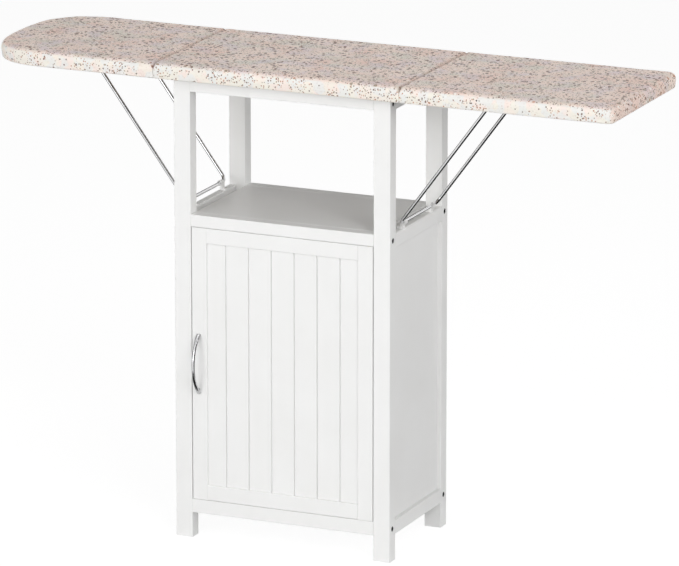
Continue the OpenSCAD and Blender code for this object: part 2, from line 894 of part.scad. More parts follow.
module door_left_stile() {
    color(PAINT) cabinet() difference() {
        door_stile(door_x0);
        door_groove(door_z0 + tongue_in, door_z1 - tongue_in);
        at_handle_screws() translate([0, -1, 0]) rod_y(handle_screw_r + handle_screw_slack, door_t + 2);
    }
}

module door_right_stile() {
    color(PAINT) cabinet() difference() {
        door_stile(door_x1 - stile_w);
        door_groove(door_z0 + tongue_in, door_z1 - tongue_in);
        for (z = [door_z0 - 1, door_z1 - pivot_pin_depth]) {
            translate([pivot_x, pivot_back, z]) cylinder(r = pivot_pin_r, h = pivot_pin_depth + 1);
        }
    }
}

// Rail of the door with a tongue at each end, in the stiles' grooves
module door_rail(z0, tongue_z) {
    color(PAINT) cabinet() difference() {
        union() {
            translate([door_x0 + stile_w, 0, z0]) bar_x(door_x1 - door_x0 - 2 * stile_w, door_t, door_rail_h);
            translate([bead_x0, bead_recess, tongue_z])
                cube([bead_x1 - bead_x0, bead_panel_t, door_rail_h - door_groove_d - tongue_in]);
        }
        door_groove(bead_z0, bead_z1);
    }
}

// Section of a bead-board groove: a V that opens to the front
module bead_section() {
    slope = bead_w / 2 / bead_d;
    polygon([[-bead_w / 2 - slope, -1], [0, bead_d], [bead_w / 2 + slope, -1]]);
}

module door_panel() {
    middle = (bead_x0 + bead_x1) / 2;
    color(PAINT) cabinet() difference() {
        door_groove(bead_z0, bead_z1);
        for (i = [0:bead_count - 1]) {
            translate([middle + (i - (bead_count - 1) / 2) * bead_pitch, bead_recess, bead_z0 - 1])
                linear_extrude(bead_z1 - bead_z0 + 2) bead_section();
        }
    }
}

module at_handle_screws() {
    for (s = [-1, 1]) translate([handle_x, 0, handle_z + s * handle_centres / 2]) children();
}

// Section of the bow at the angle a from its middle, wider and thicker towards the ends
function bow_ring(a) =
    let (k = pow(abs(a) / handle_arc_a, 3))
    let (half_w = (handle_mid_w + (handle_end_w - handle_mid_w) * k) / 2)
    let (half_t = (handle_mid_t + (handle_end_t - handle_mid_t) * k) / 2)
    [for (t = [0:30:330]) let (r = handle_arc_r + half_t * sin(t))
        [half_w * cos(t), handle_arc_r - handle_rise - r * cos(a), r * sin(a)]];

module handle_bow() {
    rings = [for (i = [12:-1:-12]) bow_ring(i * handle_arc_a / 12)];
    n = len(rings[0]);
    last = len(rings) - 1;
    points = [for (ring = rings, p = ring) p];
    sides = [for (k = [0:last - 1], i = [0:n - 1]) each [
        [k * n + i, (k + 1) * n + i, (k + 1) * n + (i + 1) % n],
        [k * n + i, (k + 1) * n + (i + 1) % n, k * n + (i + 1) % n]
    ]];
    start = [for (i = [0:n - 1]) i];
    end = [for (i = [n - 1:-1:0]) last * n + i];
    polyhedron(points = points, faces = concat([start], sides, [end]));
}

module door_handle() {
    color(STEEL) cabinet() difference() {
        union() {
            translate([handle_x, 0, handle_z]) handle_bow();
            at_handle_screws() translate([0, -handle_foot_d, 0]) rod_y(handle_foot_r, handle_foot_d);
        }
        translate([handle_x - handle_end_w, 0, handle_z - handle_half - handle_end_t])
            cube([2 * handle_end_w, 2 * handle_end_t, 2 * (handle_half + handle_end_t)]);
        at_handle_screws() translate([0, -handle_screw_depth, 0]) rod_y(handle_screw_r, handle_screw_depth + 1);
    }
}

module handle_screws() {
    color(STEEL) cabinet() at_handle_screws() {
        translate([0, -handle_screw_depth, 0]) rod_y(handle_screw_r, handle_screw_depth + door_t);
        translate([0, door_t, 0]) rod_y(handle_screw_head_r, handle_screw_head_h);
    }
}

// Steel pins in the top and bottom of the hinge stile, and the bushes that they turn in
module door_pivot_pins() {
    reach = door_end_gap + bush_len - pin_end_clear;
    color(DARK_STEEL) cabinet() for (z = [door_z0 - reach, door_z1 - pivot_pin_depth]) {
        translate([pivot_x, pivot_back, z]) cylinder(r = pivot_pin_r, h = pivot_pin_depth + reach);
    }
}

module door_bush() {
    difference() {
        translate([0, 0, -bush_len]) cylinder(r = bush_r, h = bush_len + bush_rise);
        translate([0, 0, -bush_len - 1]) cylinder(r = pivot_pin_r + run_clear, h = bush_len + bush_rise + 2);
    }
}

module door_bushes() {
    color(BRASS) cabinet() {
        translate([pivot_x, pivot_back, bottom_rail_top]) door_bush();
        translate([pivot_x, pivot_back, shelf_rail_z]) mirror([0, 0, 1]) door_bush();
    }
}

// Magnet catch under the open shelf, with its nose just behind the door
module magnet_catch() {
    nose_y = door_t + strike_t + strike_gap;
    color(PLASTIC) cabinet() {
        translate([catch_x, rail_t, magnet_top_z - magnet_h / 2])
            cube([catch_w, catch_d, shelf_z - shelf_t - magnet_top_z + magnet_h / 2]);
        translate([catch_x + (catch_w - magnet_w) / 2, nose_y, magnet_top_z - magnet_h])
            cube([magnet_w, rail_t + catch_d - nose_y, magnet_h]);
    }
}

module strike_plate() {
    color(STEEL) cabinet()
        translate([catch_x + (catch_w - strike_w) / 2, door_t, magnet_top_z - magnet_h])
            cube([strike_w, strike_t, strike_h]);
}

cabinet() post(false);  // front_left_post
cabinet() to_right() post(false);  // front_right_post
cabinet() to_back() post(true);  // back_left_post
cabinet() to_back() to_right() post(true);  // back_right_post
front_top_rail();
back_top_rail();
cabinet() side_rail(top_rail_z, top_rail_h);  // left_top_rail
cabinet() to_right() side_rail(top_rail_z, top_rail_h);  // right_top_rail
front_shelf_rail();
back_shelf_rail();
cabinet() side_shelf_rail();  // left_shelf_rail
cabinet() to_right() side_shelf_rail();  // right_shelf_rail
front_bottom_rail();
back_bottom_rail();
cabinet() side_bottom_rail();  // left_bottom_rail
cabinet() to_right() side_bottom_rail();  // right_bottom_rail
cabinet() side_panel();  // left_side_panel
cabinet() to_right() side_panel();  // right_side_panel
back_panel();
bottom_panel();
open_shelf();
inner_shelf();
battens(open_batten_w, shelf_z - shelf_t);  // open_shelf_battens
battens(batten_w, inner_shelf_z - shelf_t);  // inner_shelf_battens
battens(batten_w, bottom_rail_top - shelf_t);  // bottom_battens
at_bolts() frame_bolt();  // frame_bolts
at_bolts() barrel_nut();  // barrel_nuts
wood_dowels();
centre_core();
centre_cover();
color(STEEL) board_screw_places() board_screw_shape();  // board_screws
hinge_board_plates();
hinge_pins();
color(STEEL) board_hinge_screw_places() screw_shape();  // hinge_board_screws
to_left() right_strut_clips();  // left_strut_clips
right_strut_clips();
magnet_catch();
door_bushes();
right_leaf_core();
right_leaf_cover();
leaf_hinges();  // right_hinge_plates
right_strut_brackets();
right_leaf_screws();
right_strut();
left_leaf_core();
left_leaf_cover();
to_left() leaf_hinges();  // left_hinge_plates
to_left() right_strut_brackets();  // left_strut_brackets
to_left() right_leaf_screws();  // left_leaf_screws
to_left() right_strut();  // left_strut
door_left_stile();
door_right_stile();
door_rail(door_z1 - door_rail_h, bead_z1);  // door_top_rail
door_rail(door_z0, door_z0 + tongue_in);  // door_bottom_rail
door_panel();
door_handle();
handle_screws();
door_pivot_pins();
strike_plate();
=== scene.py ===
"""Looks of the ironing board cabinet: painted frame and door, padded board, wire struts and studio.

Lengths are metres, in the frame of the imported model: X along the board, -Y the front, Z up.
"""

import json
import logging
import math
from dataclasses import dataclass
from enum import Enum

import bmesh
import bpy
from mathutils import Matrix, Vector


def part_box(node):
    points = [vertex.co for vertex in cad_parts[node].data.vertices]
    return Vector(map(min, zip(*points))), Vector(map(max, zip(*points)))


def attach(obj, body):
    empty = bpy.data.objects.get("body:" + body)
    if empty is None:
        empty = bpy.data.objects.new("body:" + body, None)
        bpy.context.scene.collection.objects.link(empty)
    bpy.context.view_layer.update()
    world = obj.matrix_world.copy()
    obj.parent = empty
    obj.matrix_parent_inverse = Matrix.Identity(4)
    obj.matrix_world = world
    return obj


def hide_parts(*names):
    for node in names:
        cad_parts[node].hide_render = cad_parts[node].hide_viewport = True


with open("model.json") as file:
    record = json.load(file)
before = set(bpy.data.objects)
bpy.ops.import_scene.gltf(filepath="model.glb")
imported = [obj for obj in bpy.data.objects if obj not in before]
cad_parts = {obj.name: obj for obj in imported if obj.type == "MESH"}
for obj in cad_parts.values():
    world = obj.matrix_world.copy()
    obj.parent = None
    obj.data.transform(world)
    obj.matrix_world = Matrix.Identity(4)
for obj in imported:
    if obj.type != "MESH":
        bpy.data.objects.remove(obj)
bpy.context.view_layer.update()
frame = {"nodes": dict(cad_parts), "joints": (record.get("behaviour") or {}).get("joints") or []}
NODES: dict[str, bpy.types.Object] = frame["nodes"]
JOINTS: dict[str, dict] = {joint["name"]: joint for joint in frame["joints"]}
MM = 0.001
NEAR = 0.01 * MM
LOG = logging.getLogger("ironing_board_cabinet")
SIDES = ("left", "right")
Colour = tuple[float, float, float]


class Grain(Enum):
    """Way in which the grain of a wooden piece runs, as the scale of its noise along each axis."""

    ALONG_X = (7.0, 190.0, 190.0)
    ALONG_Y = (190.0, 7.0, 190.0)
    ALONG_Z = (190.0, 190.0, 7.0)


class Sheet:
    """Node tree of one material, with short ways to add and join its nodes."""

    def __init__(self, name: str) -> None:
        """Starts a material with its shader and its object coordinates.

        Args:
            name: Name of the new material.
        """
        self.material = bpy.data.materials.new(name)
        self.material.use_nodes = True
        self.tree = self.material.node_tree
        self.shader = self.tree.nodes["Principled BSDF"]
        self.place = self.node("ShaderNodeTexCoord").outputs["Object"]

    def node(self, kind: str, **settings: object) -> bpy.types.Node:
        """Adds a node.

        Args:
            kind: Blender's name for the node's type.
            **settings: Properties of the node.

        Returns:
            The new node.
        """
        made = self.tree.nodes.new(kind)
        for key, value in settings.items():
            setattr(made, key, value)
        return made

    def feed(self, socket: bpy.types.NodeSocket, value: object) -> None:
        """Joins an output to a socket, or sets the socket to a plain value.

        Args:
            socket: Input that takes the value.
            value: Output socket, number, vector or colour.
        """
        if isinstance(value, bpy.types.NodeSocket):
            self.tree.links.new(value, socket)
        elif isinstance(value, tuple) and socket.type == "RGBA":
            socket.default_value = (*value[:3], 1.0)
        else:
            socket.default_value = value

    def math(self, operation: str, a: object, b: object = 0.0) -> bpy.types.NodeSocket:
        """Adds a math node.

        Args:
            operation: Blender's name for the operation.
            a: First value.
            b: Second value.

        Returns:
            The node's output.
        """
        made = self.node("ShaderNodeMath", operation=operation)
        self.feed(made.inputs[0], a)
        self.feed(made.inputs[1], b)
        return made.outputs[0]

    def remap(self, value: object, low: object, high: object, to_low: object, to_high: object,
              smooth: bool = False) -> bpy.types.NodeSocket:
        """Maps a range of values onto another, clamped.

        Args:
            value: Value to map.
            low: Value that becomes to_low.
            high: Value that becomes to_high.
            to_low: Result at low.
            to_high: Result at high.
            smooth: Whether the way between them is eased.

        Returns:
            The node's output.
        """
        made = self.node("ShaderNodeMapRange", interpolation_type="SMOOTHSTEP" if smooth else "LINEAR")
        for index, item in enumerate((value, low, high, to_low, to_high)):
            self.feed(made.inputs[index], item)
        return made.outputs[0]

    def cloudy(self, noise: object, low: float = 0.35, high: float = 0.65) -> bpy.types.NodeSocket:
        """Spreads a noise's middle values over 0 to 1."""
        return self.remap(noise, low, high, 0.0, 1.0)

    def gloss(self, noise: object, smooth: float, rough: float, low: float = 0.3,
              high: float = 0.7) -> bpy.types.NodeSocket:
        """Maps a noise's usual values onto the roughness of a surface."""
        return self.remap(noise, low, high, smooth, rough)

    def stretch(self, scale: tuple[float, float, float]) -> bpy.types.NodeSocket:
        """Scales the object coordinates.

        Args:
            scale: Factor along each axis.

        Returns:
            The scaled coordinates.
        """
        made = self.node("ShaderNodeMapping")
        self.feed(made.inputs["Vector"], self.place)
        made.inputs["Scale"].default_value = scale
        return made.outputs[0]

    def noise(self, place: bpy.types.NodeSocket, scale: float, detail: float = 3.0) -> bpy.types.NodeSocket:
        """Adds a noise texture.

        Args:
            place: Coordinates it reads.
            scale: Features per metre of those coordinates.
            detail: Octaves of finer noise.

        Returns:
            The noise, from 0 to 1.
        """
        made = self.node("ShaderNodeTexNoise")
        self.feed(made.inputs["Vector"], place)
        made.inputs["Scale"].default_value = scale
        made.inputs["Detail"].default_value = detail
        return made.outputs["Fac"]

    def blend(self, share: object, a: object, b: object, mode: str = "MIX") -> bpy.types.NodeSocket:
        """Mixes two colours.

        Args:
            share: How much of b there is.
            a: First colour.
            b: Second colour.
            mode: Blender's name for the way of mixing.

        Returns:
            The mixed colour.
        """
        made = self.node("ShaderNodeMix", data_type="RGBA", blend_type=mode)
        self.feed(made.inputs["Factor"], share)
        self.feed(made.inputs[6], a)
        self.feed(made.inputs[7], b)
        return made.outputs[2]

    def steps(self, value: object, colours: list[Colour]) -> bpy.types.NodeSocket:
        """Picks one of several colours, in equal steps of a value from 0 to 1.

        Args:
            value: Value that picks.
            colours: Colours from the lowest step to the highest.

        Returns:
            The picked colour.
        """
        made = self.node("ShaderNodeValToRGB")
        made.color_ramp.interpolation = "CONSTANT"
        stops = made.color_ramp.elements
        while len(stops) < len(colours):
            stops.new(0.5)
        for index, colour in enumerate(colours):
            stops[index].position = index / len(colours)
            stops[index].color = (*colour, 1.0)
        self.feed(made.inputs[0], value)
        return made.outputs[0]

    def bump(self, height: object, strength: float, distance: float) -> None:
        """Gives the shader a relief.

        Args:
            height: Height of the relief, from 0 to 1.
            strength: Share of the relief that shows.
            distance: Depth of the relief at full height, in metres.
        """
        made = self.node("ShaderNodeBump")
        made.inputs["Strength"].default_value = strength
        made.inputs["Distance"].default_value = distance
        self.feed(made.inputs["Height"], height)
        self.feed(self.shader.inputs["Normal"], made.outputs[0])

    def set(self, **values: object) -> None:
        """Sets inputs of the shader by name, with _ for a space."""
        for key, value in values.items():
            self.feed(self.shader.inputs[key.replace("_", " ")], value)


def shaded(colour: Colour, share: float) -> Colour:
    """Darkens a colour to a share of itself."""
    return tuple(share * part for part in colour)


@dataclass(frozen=True)
class SatinPaint:
    """Satin white paint on wood, through which a little of the grain shows."""

    grain: Grain
    white: Colour = (0.872, 0.872, 0.866)
    shade: Colour = (0.855, 0.854, 0.845)
    clouds_per_metre: float = 9.0
    grain_window: tuple[float, float] = (0.62, 0.78)
    grain_strength: float = 0.35
    smooth: float = 0.40
    rough: float = 0.50
    refraction: float = 1.46
    gleam: float = 0.42
    relief: float = 0.25 * MM
    relief_strength: float = 0.12

    def material(self) -> bpy.types.Material:
        """Makes the material: brush marks and grain along the piece, cloudy colour and gloss.

        Returns:
            The material.
        """
        sheet = Sheet(f"satin_paint_{self.grain.name.lower()}")
        cloud = sheet.noise(sheet.place, self.clouds_per_metre)
        grain = sheet.noise(sheet.stretch(self.grain.value), 1.0, detail=5.0)
        colour = sheet.blend(sheet.cloudy(cloud), self.white, self.shade)
        dark = sheet.remap(grain, *self.grain_window, 0.0, self.grain_strength)
        sheet.set(
            Base_Color=sheet.blend(dark, colour, self.shade),
            Roughness=sheet.gloss(grain, self.smooth, self.rough),
            IOR=self.refraction,
            Specular_IOR_Level=self.gleam,
        )
        sheet.bump(grain, self.relief_strength, self.relief)
        return sheet.material


@dataclass(frozen=True)
class BareWood:
    """Bare wood; plywood shows its layers at the edges."""

    name: str
    pale: Colour
    dark: Colour
    layer: float = 0.0
    layer_edge: float = 0.2
    layer_shade: float = 0.6
    layer_strength: float = 0.45
    grain: tuple[float, float, float] = (4.0, 120.0, 120.0)
    pores: tuple[float, float, float] = (60.0, 900.0, 900.0)
    smooth: float = 0.55
    rough: float = 0.75
    gleam: float = 0.3
    relief: float = 0.2 * MM
    relief_strength: float = 0.25

    def material(self) -> bpy.types.Material:
        """Makes the material: stretched grain, fine pores and, in plywood, the layers.

        Returns:
            The material.
        """
        sheet = Sheet(self.name)
        grain = sheet.noise(sheet.stretch(self.grain), 1.0, detail=6.0)
        pores = sheet.noise(sheet.stretch(self.pores), 1.0, detail=2.0)
        colour = sheet.blend(sheet.cloudy(grain), self.pale, self.dark)
        if self.layer:
            split = sheet.node("ShaderNodeSeparateXYZ")
            sheet.feed(split.inputs[0], sheet.place)
            wave = sheet.math("SINE", sheet.math("MULTIPLY", split.outputs[2], math.pi / self.layer))
            ply = sheet.remap(wave, -self.layer_edge, self.layer_edge, 0.0, self.layer_strength)
            colour = sheet.blend(ply, colour, shaded(self.dark, self.layer_shade))
        sheet.set(
            Base_Color=colour,
            Roughness=sheet.gloss(pores, self.smooth, self.rough),
            Specular_IOR_Level=self.gleam,
        )
        sheet.bump(pores, self.relief_strength, self.relief)
        return sheet.material


@dataclass(frozen=True)
class Metal:
    """Bare or plated metal with fine marks from drawing or rolling."""

    name: str
    colour: Colour
    smooth: float
    rough: float
    metallic: float = 1.0
    marks: tuple[float, float, float] = (900.0, 900.0, 900.0)
    clouds_per_metre: float = 60.0
    cloud_window: tuple[float, float] = (0.15, 0.35)
    cloud_shade: float = 0.86
    gloss_window: tuple[float, float] = (0.1, 0.4)
    relief: float = 0.05 * MM
    relief_strength: float = 0.05

    def material(self) -> bpy.types.Material:
        """Makes the material: gloss that varies along fine marks, and a faint relief.

        Returns:
            The material.
        """
        sheet = Sheet(self.name)
        marks = sheet.noise(sheet.stretch(self.marks), 1.0, detail=4.0)
        cloud = sheet.noise(sheet.place, self.clouds_per_metre)
        both = sheet.math("MULTIPLY", marks, cloud)
        tint = shaded(self.colour, self.cloud_shade)
        sheet.set(
            Base_Color=sheet.blend(sheet.cloudy(both, *self.cloud_window), self.colour, tint),
            Metallic=self.metallic,
            Roughness=sheet.gloss(both, self.smooth, self.rough, *self.gloss_window),
        )
        sheet.bump(marks, self.relief_strength, self.relief)
        return sheet.material


@dataclass(frozen=True)
class MouldedPlastic:
    """White moulded plastic with a fine etched skin."""

    colour: Colour = (0.84, 0.84, 0.83)
    cloud_shade: float = 0.96
    clouds_per_metre: float = 120.0
    pits_per_metre: float = 2600.0
    smooth: float = 0.38
    rough: float = 0.5
    gleam: float = 0.5
    relief: float = 0.1 * MM
    relief_strength: float = 0.1

    def material(self) -> bpy.types.Material:
        """Makes the material: an even colour with small clouds and an etched relief.

        Returns:
            The material.
        """
        sheet = Sheet("moulded_white_plastic")
        etch = sheet.noise(sheet.place, self.pits_per_metre, detail=2.0)
        cloud = sheet.noise(sheet.place, self.clouds_per_metre)
        sheet.set(
            Base_Color=sheet.blend(cloud, self.colour, shaded(self.colour, self.cloud_shade)),
            Roughness=sheet.gloss(etch, self.smooth, self.rough),
            Specular_IOR_Level=self.gleam,
        )
        sheet.bump(etch, self.relief_strength, self.relief)
        return sheet.material


@dataclass(frozen=True)
class Specks:
    """One kind of speck in the cloth's print, with its shares on the sides and on top."""

    spacing: float
    share: float
    share_on_top: float
    smallest: float
    largest: float
    colours: tuple[Colour, ...]
    strength: float = 1.0
    spares_blanks: bool = True


@dataclass(frozen=True)
class PrintedCotton:
    """Cotton printed like speckled stone: pale patches on the sides, dense specks and drifts on top, and a
    painted shade in the seams.

    Patches and drifts are given as features per metre, strength and colour.
    """

    ground: Colour = (0.91, 0.84, 0.76)
    ground_on_top: Colour = (0.965, 0.81, 0.725)
    top_from: float = 875.0 * MM
    top_to: float = 878.0 * MM
    end_from: float = 603.0 * MM
    end_to: float = 608.0 * MM
    seam_reach: float = 6.0 * MM
    seam_drop: float = 8.0 * MM
    # Painted shade in the seam grooves on top: its colour, and how strongly it shows.
    seam_shade: Colour = (0.30, 0.19, 0.15)
    seam_shade_strength: float = 0.42
    ripples_per_metre: float = 260.0
    ripple: float = 2.2 * MM
    blank_share: float = 0.12
    speck_edge: float = 0.06
    threads_per_metre: float = 400.0
    thread_wobble: float = 0.6
    thread_height: float = 0.34
    thread_shade: Colour = (0.55, 0.50, 0.46)
    thread_strength: float = 0.10
    smooth: float = 0.8
    rough: float = 0.92
    gleam: float = 0.2
    sheen: float = 0.12
    sheen_rough: float = 0.5
    relief: float = 0.06 * MM
    relief_strength: float = 0.25
    bare_per_metre: float = 34.0
    bare_window: tuple[float, float] = (0.53, 0.58)
    patch_detail: float = 1.0
    patch_window: tuple[float, float] = (0.49, 0.55)
    drift_detail: float = 4.0
    drift_window: tuple[float, float] = (0.48, 0.66)
    patches: tuple[tuple[float, float, Colour], ...] = (
        (38.0, 0.70, (0.92, 0.79, 0.74)), (31.0, 0.60, (0.87, 0.86, 0.78)),
        (44.0, 0.75, (0.83, 0.84, 0.83)),
    )
    drifts: tuple[tuple[float, float, Colour], ...] = (
        (14.0, 0.80, (0.90, 0.66, 0.575)), (19.0, 0.70, (0.76, 0.74, 0.655)),
        (25.0, 0.60, (0.77, 0.68, 0.735)),
    )
    specks: tuple[Specks, ...] = (
        Specks(8.4 * MM, 0.0, 0.90, 0.24, 0.44,
               ((0.26, 0.13, 0.09), (0.60, 0.32, 0.21), (0.99, 0.94, 0.89), (0.40, 0.33, 0.25),
                (0.98, 0.88, 0.82), (0.18, 0.09, 0.07))),
        Specks(3.9 * MM, 0.95, 0.90, 0.20, 0.44,
               ((0.16, 0.09, 0.07), (0.46, 0.24, 0.16), (0.26, 0.17, 0.13), (0.60, 0.38, 0.28),
                (0.40, 0.33, 0.24))),
        Specks(6.5 * MM, 0.40, 0.35, 0.16, 0.28,
               ((0.04, 0.02, 0.02), (0.14, 0.07, 0.05), (0.20, 0.11, 0.09), (0.26, 0.11, 0.08),
                (0.16, 0.10, 0.08)), 0.95, False),
    )

    def _cells(self, sheet: Sheet, place: bpy.types.NodeSocket,
               spacing: float) -> tuple[bpy.types.NodeSocket, list[bpy.types.NodeSocket]]:
        """Scatters cells with random values.

        Args:
            sheet: Material that takes the cells.
            place: Coordinates of the print.
            spacing: Size of a cell.

        Returns:
            The distance from the cell's middle, in cells, and three random values of the cell.
        """
        cells = sheet.node("ShaderNodeTexVoronoi", voronoi_dimensions="3D", feature="F1")
        sheet.feed(cells.inputs["Vector"], place)
        cells.inputs["Scale"].default_value = 1.0 / spacing
        parts = sheet.node("ShaderNodeSeparateColor")
        sheet.feed(parts.inputs[0], cells.outputs["Color"])
        return cells.outputs["Distance"], list(parts.outputs[:3])

    def _drift(self, sheet: Sheet, ground: Colour, tints: tuple[tuple[float, float, Colour], ...],
               detail: float, start: float, end: float) -> bpy.types.NodeSocket:
        """Lays cloudy patches of colour on a ground.

        Args:
            sheet: Material that takes the patches.
            ground: Colour under them.
            tints: For each kind of patch, features per metre, strength and colour.
            detail: Octaves of finer noise in their edges.
            start: Noise at which a patch starts to show.
            end: Noise at which it shows fully.

        Returns:
            The colour with the patches.
        """
        colour = ground
        for scale, strength, tint in tints:
            cloud = sheet.noise(sheet.place, scale, detail)
            colour = sheet.blend(sheet.remap(cloud, start, end, 0.0, strength), colour, tint)
        return colour

    def _sprinkle(self, sheet: Sheet, place: bpy.types.NodeSocket, top: bpy.types.NodeSocket,
                  blank: bpy.types.NodeSocket, ground: bpy.types.NodeSocket,
                  specks: Specks) -> bpy.types.NodeSocket:
        """Lays one kind of speck on what is under it.

        Args:
            sheet: Material that takes the specks.
            place: Coordinates of the print.
            top: 1 on the board's top and 0 on its sides.
            blank: 1 in the patches that stay bare.
            ground: Colour under the specks.
            specks: Spacing, shares, sizes and colours of the specks.

        Returns:
            The colour with the specks.
        """
        distance, (pick, size, tint) = self._cells(sheet, place, specks.spacing)
        there = sheet.math("LESS_THAN", pick, sheet.remap(top, 0.0, 1.0, specks.share, specks.share_on_top))
        radius = sheet.remap(size, 0.0, 1.0, specks.smallest, specks.largest)
        inside = sheet.math("SUBTRACT", radius, distance)
        mask = sheet.remap(inside, 0.0, self.speck_edge, 0.0, specks.strength)
        mask = sheet.math("MULTIPLY", mask, there)
        if specks.spares_blanks:
            mask = sheet.math("MULTIPLY", mask, sheet.remap(blank, 0.0, 1.0, 1.0, self.blank_share))
        return sheet.blend(mask, ground, sheet.steps(tint, list(specks.colours)))

    def material(self) -> bpy.types.Material:
        """Makes the material: the print, a painted shade in the seams, the weave and a soft sheen.

        Returns:
            The material.
        """
        sheet = Sheet("printed_cotton")
        split = sheet.node("ShaderNodeSeparateXYZ")
        sheet.feed(split.inputs[0], sheet.place)
        near_seam = 0.0
        for side in SIDES:
            seam = JOINTS[f"{side}_leaf_hinge"]["pos_m"][0]
            away = sheet.math("ABSOLUTE", sheet.math("SUBTRACT", split.outputs[0], seam))
            near_seam = sheet.math("ADD", near_seam, sheet.remap(away, 0.0, self.seam_reach, 1.0, 0.0))
        height = sheet.math("ADD", split.outputs[2], sheet.math("MULTIPLY", near_seam, self.seam_drop))
        top = sheet.remap(height, self.top_from, self.top_to, 0.0, 1.0, smooth=True)
        # Painted shade: darkens the cloth on top close to each seam, where the groove is.
        painted_seam_shade = sheet.math("MULTIPLY", sheet.math("MULTIPLY", near_seam, top), self.seam_shade_strength)
        end = sheet.remap(split.outputs[0], self.end_from, self.end_to, 0.0, 1.0, smooth=True)
        top = sheet.math("MAXIMUM", top, end)
        place = self._ripple(sheet)
        on_side = self._drift(sheet, self.ground, self.patches, self.patch_detail, *self.patch_window)
        on_top = self._drift(sheet, self.ground_on_top, self.drifts, self.drift_detail, *self.drift_window)
        colour = sheet.blend(top, on_side, on_top)
        bare = sheet.cloudy(sheet.noise(sheet.place, self.bare_per_metre, detail=1.0), *self.bare_window)
        bare = sheet.math("MULTIPLY", bare, sheet.math("SUBTRACT", 1.0, top))
        for specks in self.specks:
            colour = self._sprinkle(sheet, place, top, bare, colour, specks)
        # Lays the painted seam shade over the print.
        colour = sheet.blend(painted_seam_shade, colour, self.seam_shade)
        weave = self._weave(sheet)
        thin = sheet.remap(weave, 0.0, 1.0, self.thread_strength, 0.0)
        colour = sheet.blend(thin, colour, self.thread_shade)
        sheet.set(
            Base_Color=colour,
            Roughness=sheet.remap(weave, 0.0, 1.0, self.rough, self.smooth),
            Specular_IOR_Level=self.gleam,
            Sheen_Weight=self.sheen,
            Sheen_Roughness=self.sheen_rough,
        )
        sheet.bump(weave, self.relief_strength, self.relief)
        return sheet.material

    def _ripple(self, sheet: Sheet) -> bpy.types.NodeSocket:
        """Shifts the object coordinates a little, so that the specks aren't round.

        Args:
            sheet: Material that takes the ripple.

        Returns:
            The shifted coordinates.
        """
        ripple = sheet.node("ShaderNodeTexNoise")
        sheet.feed(ripple.inputs["Vector"], sheet.place)
        ripple.inputs["Scale"].default_value = self.ripples_per_metre
        shift = sheet.node("ShaderNodeVectorMath", operation="MULTIPLY_ADD")
        sheet.feed(shift.inputs[0], ripple.outputs["Color"])
        shift.inputs[1].default_value = (self.ripple,) * 3
        sheet.feed(shift.inputs[2], sheet.place)
        return shift.outputs[0]

    def _weave(self, sheet: Sheet) -> bpy.types.NodeSocket:
        """Draws the plain weave.

        Args:
            sheet: Material that takes the weave.

        Returns:
            Height of the threads, from 0 to 1.
        """
        threads = []
        for direction in ("X", "Y", "Z"):
            wave = sheet.node("ShaderNodeTexWave", wave_type="BANDS", bands_direction=direction)
            sheet.feed(wave.inputs["Vector"], sheet.place)
            wave.inputs["Scale"].default_value = self.threads_per_metre
            wave.inputs["Distortion"].default_value = self.thread_wobble
            threads.append(wave.outputs["Fac"])
        total = sheet.math("ADD", sheet.math("ADD", threads[0], threads[1]), threads[2])
        return sheet.math("MULTIPLY", total, self.thread_height)


@dataclass(frozen=True)
class CottonBinding:
    """Plain cotton tape that binds the hem."""

    colour: Colour = (0.80, 0.77, 0.72)
    rib_shade: float = 0.82
    ribs: tuple[float, float, float] = (900.0, 900.0, 900.0)
    smooth: float = 0.85
    rough: float = 0.95
    gleam: float = 0.2
    relief: float = 0.2 * MM
    relief_strength: float = 0.4

    def material(self) -> bpy.types.Material:
        """Makes the material: fine ribs across the tape and a dull surface.

        Returns:
            The material.
        """
        sheet = Sheet("cotton_binding")
        ribs = sheet.noise(sheet.stretch(self.ribs), 1.0, detail=2.0)
        sheet.set(
            Base_Color=sheet.blend(sheet.cloudy(ribs), self.colour, shaded(self.colour, self.rib_shade)),
            Roughness=sheet.gloss(ribs, self.smooth, self.rough),
            Specular_IOR_Level=self.gleam,
        )
        sheet.bump(ribs, self.relief_strength, self.relief)
        return sheet.material


@dataclass(frozen=True)
class Finishes:
    """Every material of the cabinet, made once."""

    upright: bpy.types.Material
    across: bpy.types.Material
    deep: bpy.types.Material
    plywood: bpy.types.Material
    beech: bpy.types.Material
    cotton: bpy.types.Material
    binding: bpy.types.Material
    chrome: bpy.types.Material
    satin_chrome: bpy.types.Material
    zinc: bpy.types.Material
    black_steel: bpy.types.Material
    brass: bpy.types.Material
    plastic: bpy.types.Material

    @classmethod
    def make(cls) -> "Finishes":
        """Makes all the materials.

        Returns:
            The finishes.
        """
        return cls(
            upright=SatinPaint(Grain.ALONG_Z).material(),
            across=SatinPaint(Grain.ALONG_X).material(),
            deep=SatinPaint(Grain.ALONG_Y).material(),
            plywood=BareWood("plywood", (0.58, 0.50, 0.41), (0.44, 0.37, 0.29), 1.6 * MM).material(),
            beech=BareWood("beech", (0.70, 0.52, 0.34), (0.58, 0.40, 0.24)).material(),
            cotton=PrintedCotton().material(),
            binding=CottonBinding().material(),
            chrome=Metal("bright_chrome", (0.80, 0.80, 0.81), 0.05, 0.12).material(),
            satin_chrome=Metal("satin_chrome", (0.72, 0.72, 0.73), 0.16, 0.26,
                               marks=(900.0, 900.0, 60.0)).material(),
            zinc=Metal("zinc_plate", (0.62, 0.63, 0.65), 0.25, 0.42).material(),
            black_steel=Metal("black_steel", (0.045, 0.045, 0.048), 0.35, 0.5, 0.6).material(),
            brass=Metal("turned_brass", (0.78, 0.60, 0.30), 0.2, 0.35,
                        marks=(40.0, 40.0, 1500.0)).material(),
            plastic=MouldedPlastic().material(),
        )


